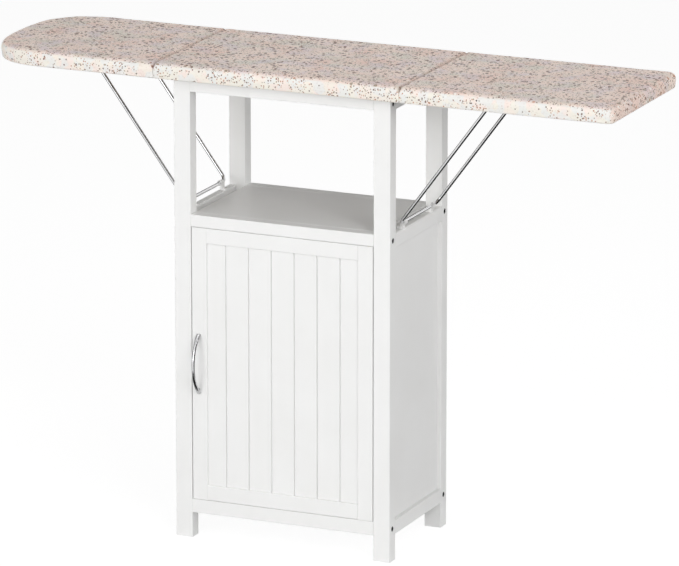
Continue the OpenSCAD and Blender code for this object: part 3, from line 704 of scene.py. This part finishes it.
def dress(names: list[str], material: bpy.types.Material) -> None:
    """Puts a material in the slots of CAD nodes.

    Args:
        names: Nodes that take it.
        material: The material.
    """
    for name in names:
        for slot in NODES[name].material_slots:
            slot.material = material
        LOG.info("%s: %s", name, material.name)


def shape_from(mesh: bmesh.types.BMesh, name: str, material: bpy.types.Material,
               smooth: bool = True) -> bpy.types.Object:
    """Turns a finished bmesh into an object in the scene.

    Args:
        mesh: The bmesh, which is freed.
        name: Name of the piece.
        material: Its finish.
        smooth: Whether its faces shade smoothly.

    Returns:
        The new object.
    """
    bmesh.ops.recalc_face_normals(mesh, faces=mesh.faces)
    for face in mesh.faces:
        face.smooth = smooth
    data = bpy.data.meshes.new(name)
    mesh.to_mesh(data)
    mesh.free()
    data.materials.append(material)
    piece = bpy.data.objects.new(name, data)
    bpy.context.scene.collection.objects.link(piece)
    return piece


def settle(piece: bpy.types.Object) -> None:
    """Applies every modifier of a piece to its mesh.

    Args:
        piece: The piece.
    """
    graph = bpy.context.evaluated_depsgraph_get()
    data = bpy.data.meshes.new_from_object(piece.evaluated_get(graph))
    piece.modifiers.clear()
    old = piece.data
    piece.data = data
    data.name = piece.name
    bpy.data.meshes.remove(old)


def whole(mesh: bmesh.types.BMesh) -> list:
    """Lists every point, edge and face of a mesh."""
    return mesh.verts[:] + mesh.edges[:] + mesh.faces[:]


def draw_out(mesh: bmesh.types.BMesh, geom: list, way: Vector) -> list:
    """Extrudes faces and moves the new ones.

    Args:
        mesh: The bmesh.
        geom: Faces to extrude, with or without their edges and points.
        way: How far, and which way, the new faces move.

    Returns:
        The new points, edges and faces.
    """
    made = bmesh.ops.extrude_face_region(mesh, geom=geom)["geom"]
    points = [item for item in made if isinstance(item, bmesh.types.BMVert)]
    bmesh.ops.translate(mesh, vec=way, verts=points)
    return made


def round_off(mesh: bmesh.types.BMesh, geom: list, radius: float, segments: int = 3,
              affect: str = "EDGES", profile: float = 0.5) -> None:
    """Rounds edges or corners.

    Args:
        mesh: The bmesh.
        geom: Edges or points to round.
        radius: How far the rounding reaches.
        segments: Steps of the rounding.
        affect: EDGES or VERTICES.
        profile: Fullness of the rounding; 0.5 is round.
    """
    bmesh.ops.bevel(mesh, geom=geom, offset=radius, offset_type="OFFSET", segments=segments,
                    profile=profile, affect=affect, material=-1)


class Section(Enum):
    """Section of the board."""

    RIGHT = "right_leaf"
    MIDDLE = "cabinet"
    LEFT = "left_leaf"


@dataclass
class BoardPad:
    """Padded cover of one section of the board, drawn tight round its wooden core."""

    section: Section
    node: str
    tuck: float = 3 * MM
    rounding: float = 10 * MM
    bulge_drop: float = 13 * MM
    past_seam: float = 30 * MM
    square_corner: float = 15 * MM
    nose_fullness: float = 2.75
    nose_flat: float = 1 * MM
    nose_length: float = 140 * MM
    voxel: float = 4.4 * MM
    slack: float = 0.3 * MM
    most_swell: float = 1.0 * MM
    seam_loops: tuple[float, ...] = (0.3 * MM, 0.8 * MM, 1.5 * MM, 2.4 * MM, 3.4 * MM, 4.6 * MM)
    seam_roll: float = 1.6 * MM
    seam_roll_on_top: float = 4.2 * MM
    hem: float = 26 * MM
    hem_depth: float = 1.3 * MM
    pocket_depth: float = 10 * MM
    binding_width: float = 7 * MM
    binding_depth: float = 1.6 * MM
    binding_over: float = 1 * MM
    binding_in: float = 0.4 * MM
    binding_back: float = 5 * MM
    binding_round: float = 0.5 * MM
    sharp_angle: float = 50.0
    corner_steps: int = 8
    nose_steps: int = 28
    edge_rings: int = 6
    tuck_curve: float = 1.8
    first_rise: float = 0.5 * MM
    held_height: float = 2 * MM
    pressure: float = 4.0
    mass: float = 0.25
    stiffness: float = 20.0
    bending: float = 1.0
    quality: int = 4
    frames: int = 20

    def __post_init__(self) -> None:
        """Reads the cover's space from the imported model."""
        self.low, self.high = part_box(self.node)

    def _seams(self) -> tuple[bool, bool]:
        """Says whether the low and the high end in X are seams."""
        return self.section is not Section.LEFT, self.section is not Section.RIGHT

    def _outline(self, inset: float) -> bmesh.types.BMesh:
        """Draws the section's outline as one face, run on past its seams.

        Args:
            inset: How far the outline lies in from the widest one.

        Returns:
            A bmesh with the one face, at the height of the widest outline.
        """
        low_seam, high_seam = self._seams()
        x0 = self.low.x - self.past_seam if low_seam else self.low.x + inset
        x1 = self.high.x + self.past_seam if high_seam else self.high.x - inset
        half = self.high.y - inset
        mesh = bmesh.new()
        bmesh.ops.create_grid(mesh, x_segments=1, y_segments=1, size=0.5)
        if self.section is Section.LEFT:
            self._round_nose(mesh, x0, x1, half, inset)
        else:
            bmesh.ops.scale(mesh, vec=(x1 - x0, 2 * half, 1.0), verts=mesh.verts)
            bmesh.ops.translate(mesh, vec=((x0 + x1) / 2, 0.0, 0.0), verts=mesh.verts)
        if self.section is Section.RIGHT:
            corners = [v for v in mesh.verts if v.co.x > (x0 + x1) / 2]
            round_off(mesh, corners, self.square_corner, self.corner_steps, "VERTICES")
        bmesh.ops.translate(mesh, vec=(0.0, 0.0, self.high.z - self.bulge_drop), verts=mesh.verts)
        return mesh

    def _round_nose(self, mesh: bmesh.types.BMesh, x0: float, x1: float, half: float, inset: float) -> None:
        """Rounds the left end: two corners bevelled in a stretched square, which is then pressed back.

        Args:
            mesh: Bmesh with a unit square.
            x0: Tip of the nose.
            x1: Other end of the outline.
            half: Half the depth of the board.
            inset: How far the outline lies in from the widest one.
        """
        across = half - self.nose_flat
        along = self.nose_length - inset
        press = along / across
        bmesh.ops.scale(mesh, vec=((x1 - x0) / press, 2 * half, 1.0), verts=mesh.verts)
        corners = [v for v in mesh.verts if v.co.x < 0]
        round_off(mesh, corners, across, self.nose_steps, "VERTICES", 2 ** (-2 / self.nose_fullness))
        bmesh.ops.scale(mesh, vec=(press, 1.0, 1.0), verts=mesh.verts)
        bmesh.ops.translate(mesh, vec=((x0 + x1) / 2, 0.0, 0.0), verts=mesh.verts)

    def _slab(self) -> bmesh.types.BMesh:
        """Builds the closed outer form, run on past the seams: rounded on top, drawn in underneath.

        Returns:
            A bmesh of the form.
        """
        mesh = self._outline(self.slack)
        draw_out(mesh, mesh.faces[:], Vector((0.0, 0.0, self.first_rise)))
        bmesh.ops.recalc_face_normals(mesh, faces=mesh.faces)
        top = max(mesh.faces, key=lambda face: face.calc_center_median().z)
        bottom = min(mesh.faces, key=lambda face: face.calc_center_median().z)
        up = self.bulge_drop - self.first_rise - self.slack
        down = self.high.z - self.bulge_drop - self.low.z
        for index in range(self.edge_rings):
            a0, a1 = (math.radians(90 * (index + step) / self.edge_rings) for step in (0, 1))
            step_in = self.rounding * (math.cos(a0) - math.cos(a1))
            bmesh.ops.inset_region(mesh, faces=[top], thickness=step_in,
                                   depth=up * (math.sin(a1) - math.sin(a0)), use_even_offset=True)
            u0, u1 = index / self.edge_rings, (index + 1) / self.edge_rings
            step_in = self.tuck * (u1 ** self.tuck_curve - u0 ** self.tuck_curve)
            bmesh.ops.inset_region(mesh, faces=[bottom], thickness=step_in, depth=down * (u1 - u0),
                                   use_even_offset=True)
        return mesh

    def _cut_at_seams(self, mesh: bmesh.types.BMesh, back: float = 0.0, rolled: bool = False) -> None:
        """Cuts a mesh at the section's seams and closes the cuts.

        Args:
            mesh: The bmesh to cut.
            back: How far the cut lies back from the seam.
            rolled: Whether the cloth rolls in towards the seam.
        """
        low_seam, high_seam = self._seams()
        for there, x, normal in ((low_seam, self.low.x + back, -1.0), (high_seam, self.high.x - back, 1.0)):
            if not there:
                continue
            cut = bmesh.ops.bisect_plane(mesh, geom=whole(mesh), plane_co=(x, 0, 0),
                                         plane_no=(normal, 0, 0), clear_outer=True)
            rim = [item for item in cut["geom_cut"] if isinstance(item, bmesh.types.BMEdge)]
            if rolled:
                self._roll_in(mesh, x, normal)
            bmesh.ops.holes_fill(mesh, edges=rim, sides=0)

    def _roll_in(self, mesh: bmesh.types.BMesh, x: float, normal: float) -> None:
        """Rolls the cloth in along a seam, more on top than on the sides.

        Args:
            mesh: Open bmesh, cut at the seam.
            x: Place of the seam.
            normal: 1 or -1, the way out of the section across the seam.
        """
        for step in self.seam_loops:
            bmesh.ops.bisect_plane(mesh, geom=whole(mesh), plane_co=(x - normal * step, 0, 0),
                                   plane_no=(normal, 0, 0))
        mesh.normal_update()
        moves = []
        for vertex in mesh.verts:
            away = vertex.normal.copy()
            away.x = 0.0
            roll = self.seam_roll + self.seam_roll_on_top * max(away.z, 0.0)
            left = 1.0 - abs(vertex.co.x - x) / roll
            if left > 0.0:
                moves.append((vertex, away * roll * (1.0 - math.sqrt(1.0 - left * left))))
        for vertex, move in moves:
            vertex.co -= move

    def _swell(self, pad: bpy.types.Object) -> None:
        """Blows the pad up a little as cloth, and limits how far each point moves.

        Args:
            pad: The pad, remeshed.
        """
        start = [vertex.co.copy() for vertex in pad.data.vertices]
        pins = pad.vertex_groups.new(name="held")
        held = [v.index for v in pad.data.vertices if v.co.z < self.low.z + self.held_height]
        pins.add(held, 1.0, "REPLACE")
        cloth = pad.modifiers.new("cloth", "CLOTH")
        cloth.settings.quality = self.quality
        cloth.settings.mass = self.mass
        cloth.settings.tension_stiffness = self.stiffness
        cloth.settings.compression_stiffness = self.stiffness
        cloth.settings.bending_stiffness = self.bending
        cloth.settings.use_pressure = True
        cloth.settings.uniform_pressure_force = self.pressure
        cloth.settings.effector_weights.gravity = 0.0
        cloth.settings.vertex_group_mass = pins.name
        scene = bpy.context.scene
        for number in range(1, self.frames + 1):
            scene.frame_set(number)
        graph = bpy.context.evaluated_depsgraph_get()
        blown = pad.evaluated_get(graph).data
        ends = [vertex.co.copy() for vertex in blown.vertices]
        pad.modifiers.clear()
        pad.vertex_groups.clear()
        for vertex, old, new in zip(pad.data.vertices, start, ends):
            way = new - old
            if way.length > self.most_swell:
                way *= self.most_swell / way.length
            vertex.co = old + way
        scene.frame_set(1)

    def _keep_inside(self, pad: bpy.types.Object) -> None:
        """Moves each point back into the cover's space.

        Args:
            pad: The pad.
        """
        low_seam, high_seam = self._seams()
        low = Vector((self.low.x - self.past_seam * low_seam, self.low.y, self.low.z))
        high = Vector((self.high.x + self.past_seam * high_seam, self.high.y, self.high.z))
        for vertex in pad.data.vertices:
            for axis in range(3):
                vertex.co[axis] = min(max(vertex.co[axis], low[axis]), high[axis])

    def _thicken(self, mesh: bmesh.types.BMesh, thickness: float, top: float) -> None:
        """Makes a flat outline a slab.

        Args:
            mesh: Bmesh with the flat outline.
            thickness: Thickness of the slab.
            top: How far its top lies above the cover's underside.
        """
        draw_out(mesh, mesh.faces[:], Vector((0.0, 0.0, thickness)))
        highest = max(v.co.z for v in mesh.verts)
        bmesh.ops.translate(mesh, vec=(0.0, 0.0, self.low.z + top - highest), verts=mesh.verts)

    def _pocket(self, finishes: Finishes) -> bpy.types.Object:
        """Builds the space under the board that the hem leaves open.

        Args:
            finishes: The cabinet's materials.

        Returns:
            The space, as a solid to cut with.
        """
        mesh = self._outline(self.hem)
        self._thicken(mesh, self.pocket_depth, self.hem_depth)
        return shape_from(mesh, "pocket", finishes.cotton)

    def _binding(self, finishes: Finishes) -> bpy.types.Object:
        """Builds the tape that binds the hem under the board.

        Args:
            finishes: The cabinet's materials.

        Returns:
            The tape.
        """
        mesh = self._outline(self.hem - self.binding_width + self.binding_over)
        inner = bmesh.ops.inset_region(mesh, faces=mesh.faces[:], thickness=self.binding_width,
                                       use_boundary=True)
        bmesh.ops.delete(mesh, geom=[f for f in mesh.faces if f not in inner["faces"]], context="FACES")
        self._thicken(mesh, self.binding_depth, self.binding_in)
        self._cut_at_seams(mesh, back=self.binding_back)
        bmesh.ops.recalc_face_normals(mesh, faces=mesh.faces)
        least = math.radians(self.sharp_angle)
        sharp = [e for e in mesh.edges if e.is_manifold and e.calc_face_angle() > least]
        round_off(mesh, sharp, self.binding_round)
        return shape_from(mesh, f"{self.node}_binding", finishes.binding)

    def build(self, finishes: Finishes) -> list[bpy.types.Object]:
        """Args:
            finishes: The cabinet's materials.

        Returns:
            The new pieces.
        """
        pad = shape_from(self._slab(), f"{self.node}_padded", finishes.cotton)
        pattern = pad.copy()
        pattern.data = pad.data.copy()
        bpy.context.scene.collection.objects.link(pattern)
        remesh = pad.modifiers.new("even", "REMESH")
        remesh.mode = "VOXEL"
        remesh.voxel_size = self.voxel
        wrap = pad.modifiers.new("wrap", "SHRINKWRAP")
        wrap.wrap_method = "NEAREST_SURFACEPOINT"
        wrap.target = pattern
        settle(pad)
        bpy.data.objects.remove(pattern)
        self._swell(pad)
        finer = pad.modifiers.new("finer", "SUBSURF")
        finer.levels = finer.render_levels = 1
        settle(pad)
        self._keep_inside(pad)
        mesh = bmesh.new()
        mesh.from_mesh(pad.data)
        self._cut_at_seams(mesh, rolled=True)
        mesh.to_mesh(pad.data)
        mesh.free()
        pocket = self._pocket(finishes)
        cut = pad.modifiers.new("hem", "BOOLEAN")
        cut.operation = "DIFFERENCE"
        cut.solver = "EXACT"
        cut.object = pocket
        settle(pad)
        bpy.data.objects.remove(pocket)
        for face in pad.data.polygons:
            face.use_smooth = True
            face.material_index = 0
        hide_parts(self.node)
        binding = self._binding(finishes)
        for piece in (pad, binding):
            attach(piece, self.section.value)
        return [pad, binding]


@dataclass
class WireStrut:
    """U-shaped wire strut: two legs, a foot across, and bent ends in the leaf's brackets."""

    side: str
    wire_radius: float = 3 * MM
    top_bend: float = 6 * MM
    foot_bend: float = 14 * MM
    half_width: float = 85 * MM
    around: int = 24
    bend_steps: int = 10
    end_round: float = 0.6 * MM

    def __post_init__(self) -> None:
        """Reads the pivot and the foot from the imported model."""
        low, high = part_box(f"{self.side}_strut")
        self.end_y = high.y
        self.pivot = Vector(JOINTS[f"{self.side}_strut_pivot"]["pos_m"])
        out = 1 if self.side == "right" else -1
        foot_x = low.x + self.wire_radius if out > 0 else high.x - self.wire_radius
        self.foot = Vector((foot_x, 0.0, low.z + self.wire_radius))

    def _turn(self, mesh: bmesh.types.BMesh, end: list, centre: Vector, angle: float) -> list:
        """Bends the wire's end face round a point in its own plane.

        Args:
            mesh: Bmesh of the wire.
            end: The face at the wire's end, with its edges and vertices.
            centre: Middle of the bend.
            angle: Angle of the bend, in radians.

        Returns:
            The new end.
        """
        made = bmesh.ops.spin(mesh, geom=end, cent=centre, axis=(0, 0, 1), angle=angle,
                              steps=self.bend_steps)
        return made["geom_last"]

    def build(self, finishes: Finishes) -> list[bpy.types.Object]:
        """Sweeps the wire flat, with the legs along X, and turns it into its place.

        Args:
            finishes: The cabinet's materials.

        Returns:
            The new piece.
        """
        mesh = bmesh.new()
        leg = (self.foot - self.pivot).length
        start_y = self.half_width + self.top_bend
        quarter = math.pi / 2
        circle = bmesh.ops.create_circle(mesh, cap_ends=True, radius=self.wire_radius, segments=self.around)
        bmesh.ops.rotate(mesh, cent=(0, 0, 0), matrix=Matrix.Rotation(quarter, 3, "X"),
                         verts=circle["verts"])
        bmesh.ops.translate(mesh, vec=(0, self.end_y, 0), verts=circle["verts"])
        end = draw_out(mesh, whole(mesh), Vector((0, start_y - self.end_y, 0)))
        end = self._turn(mesh, end, Vector((self.top_bend, start_y, 0)), quarter)
        end = draw_out(mesh, end, Vector((leg - self.top_bend - self.foot_bend, 0, 0)))
        bend_x = leg - self.foot_bend
        end = self._turn(mesh, end, Vector((bend_x, self.half_width - self.foot_bend, 0)), -quarter)
        end = draw_out(mesh, end, Vector((0, -2 * (self.half_width - self.foot_bend), 0)))
        end = self._turn(mesh, end, Vector((bend_x, self.foot_bend - self.half_width, 0)), -quarter)
        end = draw_out(mesh, end, Vector((self.top_bend + self.foot_bend - leg, 0, 0)))
        end = self._turn(mesh, end, Vector((self.top_bend, -start_y, 0)), quarter)
        draw_out(mesh, end, Vector((0, start_y - self.end_y, 0)))
        bmesh.ops.remove_doubles(mesh, verts=mesh.verts, dist=NEAR)
        rims = [e for e in mesh.edges if all(abs(abs(v.co.y) - self.end_y) < NEAR for v in e.verts)]
        round_off(mesh, rims, self.end_round)
        direction = (self.foot - self.pivot).normalized()
        turned = Matrix(((direction.x, 0, -direction.z), (0, 1, 0), (direction.z, 0, direction.x)))
        placed = Matrix.Translation(self.pivot) @ turned.to_4x4()
        bmesh.ops.transform(mesh, matrix=placed, verts=mesh.verts)
        wire = shape_from(mesh, f"{self.side}_strut_wire", finishes.chrome)
        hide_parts(f"{self.side}_strut")
        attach(wire, f"{self.side}_strut_body")
        return [wire]


@dataclass
class BowHandle:
    """Slim bow handle, wider and thicker towards its two ends."""

    middle_width: float = 6 * MM
    end_width: float = 9 * MM
    middle_thickness: float = 4 * MM
    end_thickness: float = 6 * MM
    centres: float = 96 * MM
    past_foot: float = 6 * MM
    stands_out: float = 26 * MM
    swell_power: int = 3
    around: int = 24
    steps: int = 56

    def build(self, finishes: Finishes) -> list[bpy.types.Object]:
        """Spins the bow's section along its arc and swells it towards the ends.

        Args:
            finishes: The cabinet's materials.

        Returns:
            The new piece.
        """
        low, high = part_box("door_handle")
        middle = (low + high) / 2
        face_y = high.y
        half = self.centres / 2 + self.past_foot
        rise = self.stands_out - self.middle_thickness / 2
        radius = (half * half + rise * rise) / (2 * rise)
        reach = math.asin(half / radius)
        centre = Vector((middle.x, face_y - rise + radius, middle.z))
        mesh = bmesh.new()
        ring = bmesh.ops.create_circle(mesh, cap_ends=True, radius=1.0, segments=self.around)["verts"]
        bmesh.ops.scale(mesh, vec=(self.middle_width / 2, self.middle_thickness / 2, 1.0), verts=ring)
        bmesh.ops.translate(mesh, vec=(centre.x, centre.y - radius, centre.z), verts=ring)
        bmesh.ops.rotate(mesh, cent=centre, matrix=Matrix.Rotation(reach, 3, "X"), verts=ring)
        bmesh.ops.spin(mesh, geom=whole(mesh), cent=centre, axis=(1, 0, 0), angle=-2 * reach,
                       steps=self.steps)
        for vertex in mesh.verts:
            self._swell(vertex, centre, radius, reach)
        cut = bmesh.ops.bisect_plane(mesh, geom=whole(mesh), plane_co=(0, face_y, 0), plane_no=(0, 1, 0),
                                     clear_outer=True)
        edges = [item for item in cut["geom_cut"] if isinstance(item, bmesh.types.BMEdge)]
        bmesh.ops.holes_fill(mesh, edges=edges, sides=0)
        bow = shape_from(mesh, "door_handle_bow", finishes.satin_chrome)
        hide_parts("door_handle")
        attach(bow, "door")
        return [bow]

    def _swell(self, vertex: bmesh.types.BMVert, centre: Vector, radius: float, reach: float) -> None:
        """Moves a point of the even bow out to its wider and thicker section.

        Args:
            vertex: Point of the bow.
            centre: Middle of the bow's arc.
            radius: Radius of the arc.
            reach: Half the angle of the arc, in radians.
        """
        arm = Vector((0.0, vertex.co.y - centre.y, vertex.co.z - centre.z))
        angle = math.atan2(arm.z, -arm.y)
        share = min(abs(angle) / reach, 1.0) ** self.swell_power
        wide = 1 + share * (self.end_width / self.middle_width - 1)
        thick = 1 + share * (self.end_thickness / self.middle_thickness - 1)
        vertex.co.x = centre.x + (vertex.co.x - centre.x) * wide
        length = radius + (arm.length - radius) * thick
        vertex.co.yz = (centre.y - length * math.cos(angle), centre.z + length * math.sin(angle))


@dataclass(frozen=True)
class Cabinet:
    """Posts, rails, panels and shelves, with what joins them."""

    corners: tuple[str, ...] = ("front_left", "front_right", "back_left", "back_right")
    levels: tuple[str, ...] = ("top", "shelf", "bottom")

    def dress(self, finishes: Finishes) -> None:
        """Gives each wooden piece paint along its own grain, and each fixing its metal.

        Args:
            finishes: The cabinet's materials.
        """
        dress([f"{corner}_post" for corner in self.corners], finishes.upright)
        for level in self.levels:
            dress([f"{face}_{level}_rail" for face in ("front", "back")], finishes.across)
            dress([f"{side}_{level}_rail" for side in SIDES], finishes.deep)
        dress(["left_side_panel", "right_side_panel", "back_panel"], finishes.upright)
        dress(["bottom_panel", "open_shelf", "inner_shelf"], finishes.across)
        dress(["open_shelf_battens", "inner_shelf_battens", "bottom_battens"], finishes.deep)
        dress(["frame_bolts"], finishes.black_steel)
        dress(["barrel_nuts", "board_screws"], finishes.zinc)
        dress(["wood_dowels"], finishes.beech)
        dress(["left_strut_clips", "right_strut_clips", "magnet_catch"], finishes.plastic)
        dress(["door_bushes"], finishes.brass)


class Door:
    """Framed bead-board door on pivot pins, with a bow handle."""

    def dress(self, finishes: Finishes) -> None:
        """Gives the door's pieces their paint and metal.

        Args:
            finishes: The cabinet's materials.
        """
        dress(["door_left_stile", "door_right_stile", "door_panel"], finishes.upright)
        dress(["door_top_rail", "door_bottom_rail"], finishes.across)
        dress(["handle_screws", "door_pivot_pins", "strike_plate"], finishes.zinc)


class Board:
    """Wooden cores of the board's three sections, and the hardware under them."""

    def dress(self, finishes: Finishes) -> None:
        """Gives the cores their plywood and the hardware its zinc.

        Args:
            finishes: The cabinet's materials.
        """
        dress(["centre_core", "right_leaf_core", "left_leaf_core"], finishes.plywood)
        dress(["hinge_board_plates", "hinge_pins", "hinge_board_screws"], finishes.zinc)
        for side in SIDES:
            dress([f"{side}_hinge_plates", f"{side}_strut_brackets", f"{side}_leaf_screws"], finishes.zinc)


@dataclass(frozen=True)
class Softbox:
    """Square area lamp that faces a point."""

    name: str
    place: tuple[float, float, float]
    size: float
    power: float
    aim: tuple[float, float, float] = (0.0, 0.0, 0.5)

    def build(self) -> None:
        """Makes the lamp, which the camera doesn't see."""
        lamp = bpy.data.lights.new(self.name, "AREA")
        lamp.shape = "SQUARE"
        lamp.size = self.size
        lamp.energy = self.power
        holder = bpy.data.objects.new(self.name, lamp)
        holder.location = self.place
        holder.rotation_euler = (Vector(self.aim) - Vector(self.place)).to_track_quat("-Z", "Y").to_euler()
        holder.visible_camera = False
        bpy.context.scene.collection.objects.link(holder)


def hide_from_diffuse(card: bpy.types.Object) -> None:
    """Makes a dark card show in shiny pieces only.

    Args:
        card: The card.
    """
    card.visible_camera = card.visible_diffuse = card.visible_shadow = card.visible_transmission = False


@dataclass(frozen=True)
class DarkArc:
    """Dark floor, with or without a tall dark screen behind it, round part of the set.

    Only shiny pieces mirror it. The line is given as distances from the middle and heights.
    """

    name: str
    start: float
    sweep: float
    line: tuple[tuple[float, float], ...] = ((0.35, 1 * MM), (5.0, 1 * MM), (5.0, 9.0))
    steps: int = 32

    def build(self, black: bpy.types.Material) -> None:
        """Spins the line round the middle of the set.

        Args:
            black: Material of the screen.
        """
        mesh = bmesh.new()
        turn = Matrix.Rotation(math.radians(self.start), 3, "Z")
        corners = [mesh.verts.new(turn @ Vector((away, 0.0, height))) for away, height in self.line]
        edges = [mesh.edges.new(pair) for pair in zip(corners, corners[1:])]
        bmesh.ops.spin(mesh, geom=[*corners, *edges], cent=(0, 0, 0), axis=(0, 0, 1),
                       angle=math.radians(self.sweep), steps=self.steps)
        hide_from_diffuse(shape_from(mesh, self.name, black, smooth=False))


@dataclass(frozen=True)
class DarkMat:
    """Dark mat on the floor, which only shiny pieces mirror."""

    name: str
    middle: tuple[float, float, float]
    width: float
    depth: float

    def build(self, black: bpy.types.Material) -> None:
        """Lays the mat flat.

        Args:
            black: Material of the mat.
        """
        mesh = bmesh.new()
        bmesh.ops.create_grid(mesh, x_segments=1, y_segments=1, size=0.5)
        bmesh.ops.scale(mesh, vec=(self.width, self.depth, 1.0), verts=mesh.verts)
        bmesh.ops.translate(mesh, vec=self.middle, verts=mesh.verts)
        hide_from_diffuse(shape_from(mesh, self.name, black, smooth=False))


@dataclass
class Studio:
    """White surroundings, pale floor, soft lamps and the camera."""

    horizon_light: float = 1.55
    horizon_top: float = 0.15
    dark_above: float = 0.65
    floor_size: float = 80.0
    floor_drop: float = 0.2 * MM
    floor_pale: float = 0.80
    floor_shadow: float = 0.22
    floor_glow: float = 0.89
    camera_place: tuple[float, float, float] = (4.5132, -10.1532, 3.4259)
    camera_pitch: float = 75.084
    camera_turn: float = 23.838
    camera_lens: float = 339.54
    camera_sensor: float = 36.0
    camera_reach: float = 200.0
    card_black: Colour = (0.02, 0.02, 0.02)
    boxes: tuple[Softbox, ...] = (
        Softbox("left_softbox", (-1.8, -6.4, 1.8), 2.8, 98.0),
        Softbox("right_softbox", (3.8, -3.9, 3.9), 2.6, 104.0),
        Softbox("overhead_softbox", (0.3, -0.4, 4.2), 3.0, 34.0),
    )
    cards: tuple[DarkArc | DarkMat, ...] = (
        DarkArc("right_screen", -80.0, 136.0),
        DarkArc("back_floor", 56.0, 48.0, ((1.0, 1 * MM), (2.2, 1 * MM))),
        DarkArc("left_screen", 104.0, 96.0),
        DarkMat("front_mat", (-0.3, -0.42, 2 * MM), 0.6, 0.55),
    )

    def _seen_directly(self, tree: bpy.types.NodeTree) -> bpy.types.NodeSocket:
        """Says whether a ray comes from the camera or from a mirroring or clear surface.

        Args:
            tree: Node tree that asks.

        Returns:
            An output that is 1 for such rays.
        """
        path = tree.nodes.new("ShaderNodeLightPath")
        total = path.outputs["Is Camera Ray"]
        for name in ("Is Glossy Ray", "Is Transmission Ray"):
            step = tree.nodes.new("ShaderNodeMath")
            step.operation = "MAXIMUM"
            tree.links.new(total, step.inputs[0])
            tree.links.new(path.outputs[name], step.inputs[1])
            total = step.outputs[0]
        return total

    def _surroundings(self) -> None:
        """Makes the world: white where it is seen, and soft light on the object from round the horizon."""
        world = bpy.data.worlds.new("studio")
        world.use_nodes = True
        bpy.context.scene.world = world
        tree = world.node_tree
        seen = tree.nodes["Background"]
        seen.inputs["Color"].default_value = (1.0, 1.0, 1.0, 1.0)
        lit = tree.nodes.new("ShaderNodeBackground")
        lit.inputs["Color"].default_value = (1.0, 1.0, 1.0, 1.0)
        place = tree.nodes.new("ShaderNodeTexCoord")
        split = tree.nodes.new("ShaderNodeSeparateXYZ")
        fade = tree.nodes.new("ShaderNodeMapRange")
        fade.interpolation_type = "SMOOTHSTEP"
        tree.links.new(place.outputs["Generated"], split.inputs[0])
        tree.links.new(split.outputs[2], fade.inputs[0])
        heights = (self.horizon_top, self.dark_above, self.horizon_light, 0.0)
        for index, value in enumerate(heights, start=1):
            fade.inputs[index].default_value = value
        tree.links.new(fade.outputs[0], lit.inputs["Strength"])
        mix = tree.nodes.new("ShaderNodeMixShader")
        tree.links.new(self._seen_directly(tree), mix.inputs[0])
        tree.links.new(lit.outputs[0], mix.inputs[1])
        tree.links.new(seen.outputs[0], mix.inputs[2])
        tree.links.new(mix.outputs[0], tree.nodes["World Output"].inputs["Surface"])

    def _floor(self) -> None:
        """Makes the floor: white to the camera, with a faint shadow, and pale to the light."""
        mesh = bmesh.new()
        bmesh.ops.create_grid(mesh, x_segments=1, y_segments=1, size=self.floor_size / 2)
        bmesh.ops.translate(mesh, vec=(0, 0, -self.floor_drop), verts=mesh.verts)
        material = bpy.data.materials.new("white_floor")
        material.use_nodes = True
        tree = material.node_tree
        tree.nodes.remove(tree.nodes["Principled BSDF"])
        pale, faint = (tree.nodes.new("ShaderNodeBsdfDiffuse") for _ in range(2))
        pale.inputs["Color"].default_value = (*(self.floor_pale,) * 3, 1.0)
        faint.inputs["Color"].default_value = (*(self.floor_shadow,) * 3, 1.0)
        glow = tree.nodes.new("ShaderNodeEmission")
        glow.inputs["Strength"].default_value = self.floor_glow
        both = tree.nodes.new("ShaderNodeAddShader")
        tree.links.new(faint.outputs[0], both.inputs[0])
        tree.links.new(glow.outputs[0], both.inputs[1])
        mix = tree.nodes.new("ShaderNodeMixShader")
        tree.links.new(self._seen_directly(tree), mix.inputs[0])
        tree.links.new(pale.outputs[0], mix.inputs[1])
        tree.links.new(both.outputs[0], mix.inputs[2])
        tree.links.new(mix.outputs[0], tree.nodes["Material Output"].inputs["Surface"])
        shape_from(mesh, "floor", material, smooth=False)

    def build(self) -> None:
        """Sets up the camera, the surroundings, the floor, the lamps and the cards."""
        scene = bpy.context.scene
        scene.view_settings.view_transform = "Standard"
        eye = bpy.data.cameras.new("camera")
        eye.sensor_width = self.camera_sensor
        eye.lens = self.camera_lens
        eye.clip_end = self.camera_reach
        camera = bpy.data.objects.new("camera", eye)
        camera.location = self.camera_place
        camera.rotation_euler = (math.radians(self.camera_pitch), 0.0, math.radians(self.camera_turn))
        scene.collection.objects.link(camera)
        scene.camera = camera
        self._surroundings()
        self._floor()
        sheet = Sheet("dark_card")
        sheet.set(Base_Color=self.card_black, Roughness=1.0, Specular_IOR_Level=0.0)
        for box in self.boxes:
            box.build()
        for card in self.cards:
            card.build(sheet.material)


def main() -> None:
    """Builds the studio, dresses the cabinet and adds the new pieces."""
    logging.basicConfig(level=logging.INFO, format="%(message)s")
    Studio().build()
    finishes = Finishes.make()
    for assembly in (Cabinet(), Door(), Board()):
        assembly.dress(finishes)
    makers = (
        BoardPad(Section.MIDDLE, "centre_cover"),
        BoardPad(Section.RIGHT, "right_leaf_cover"),
        BoardPad(Section.LEFT, "left_leaf_cover"),
        WireStrut("right"),
        WireStrut("left"),
        BowHandle(),
    )
    for maker in makers:
        for piece in maker.build(finishes):
            LOG.info("%s: %d faces", piece.name, len(piece.data.polygons))


if __name__ == "__main__":
    main()
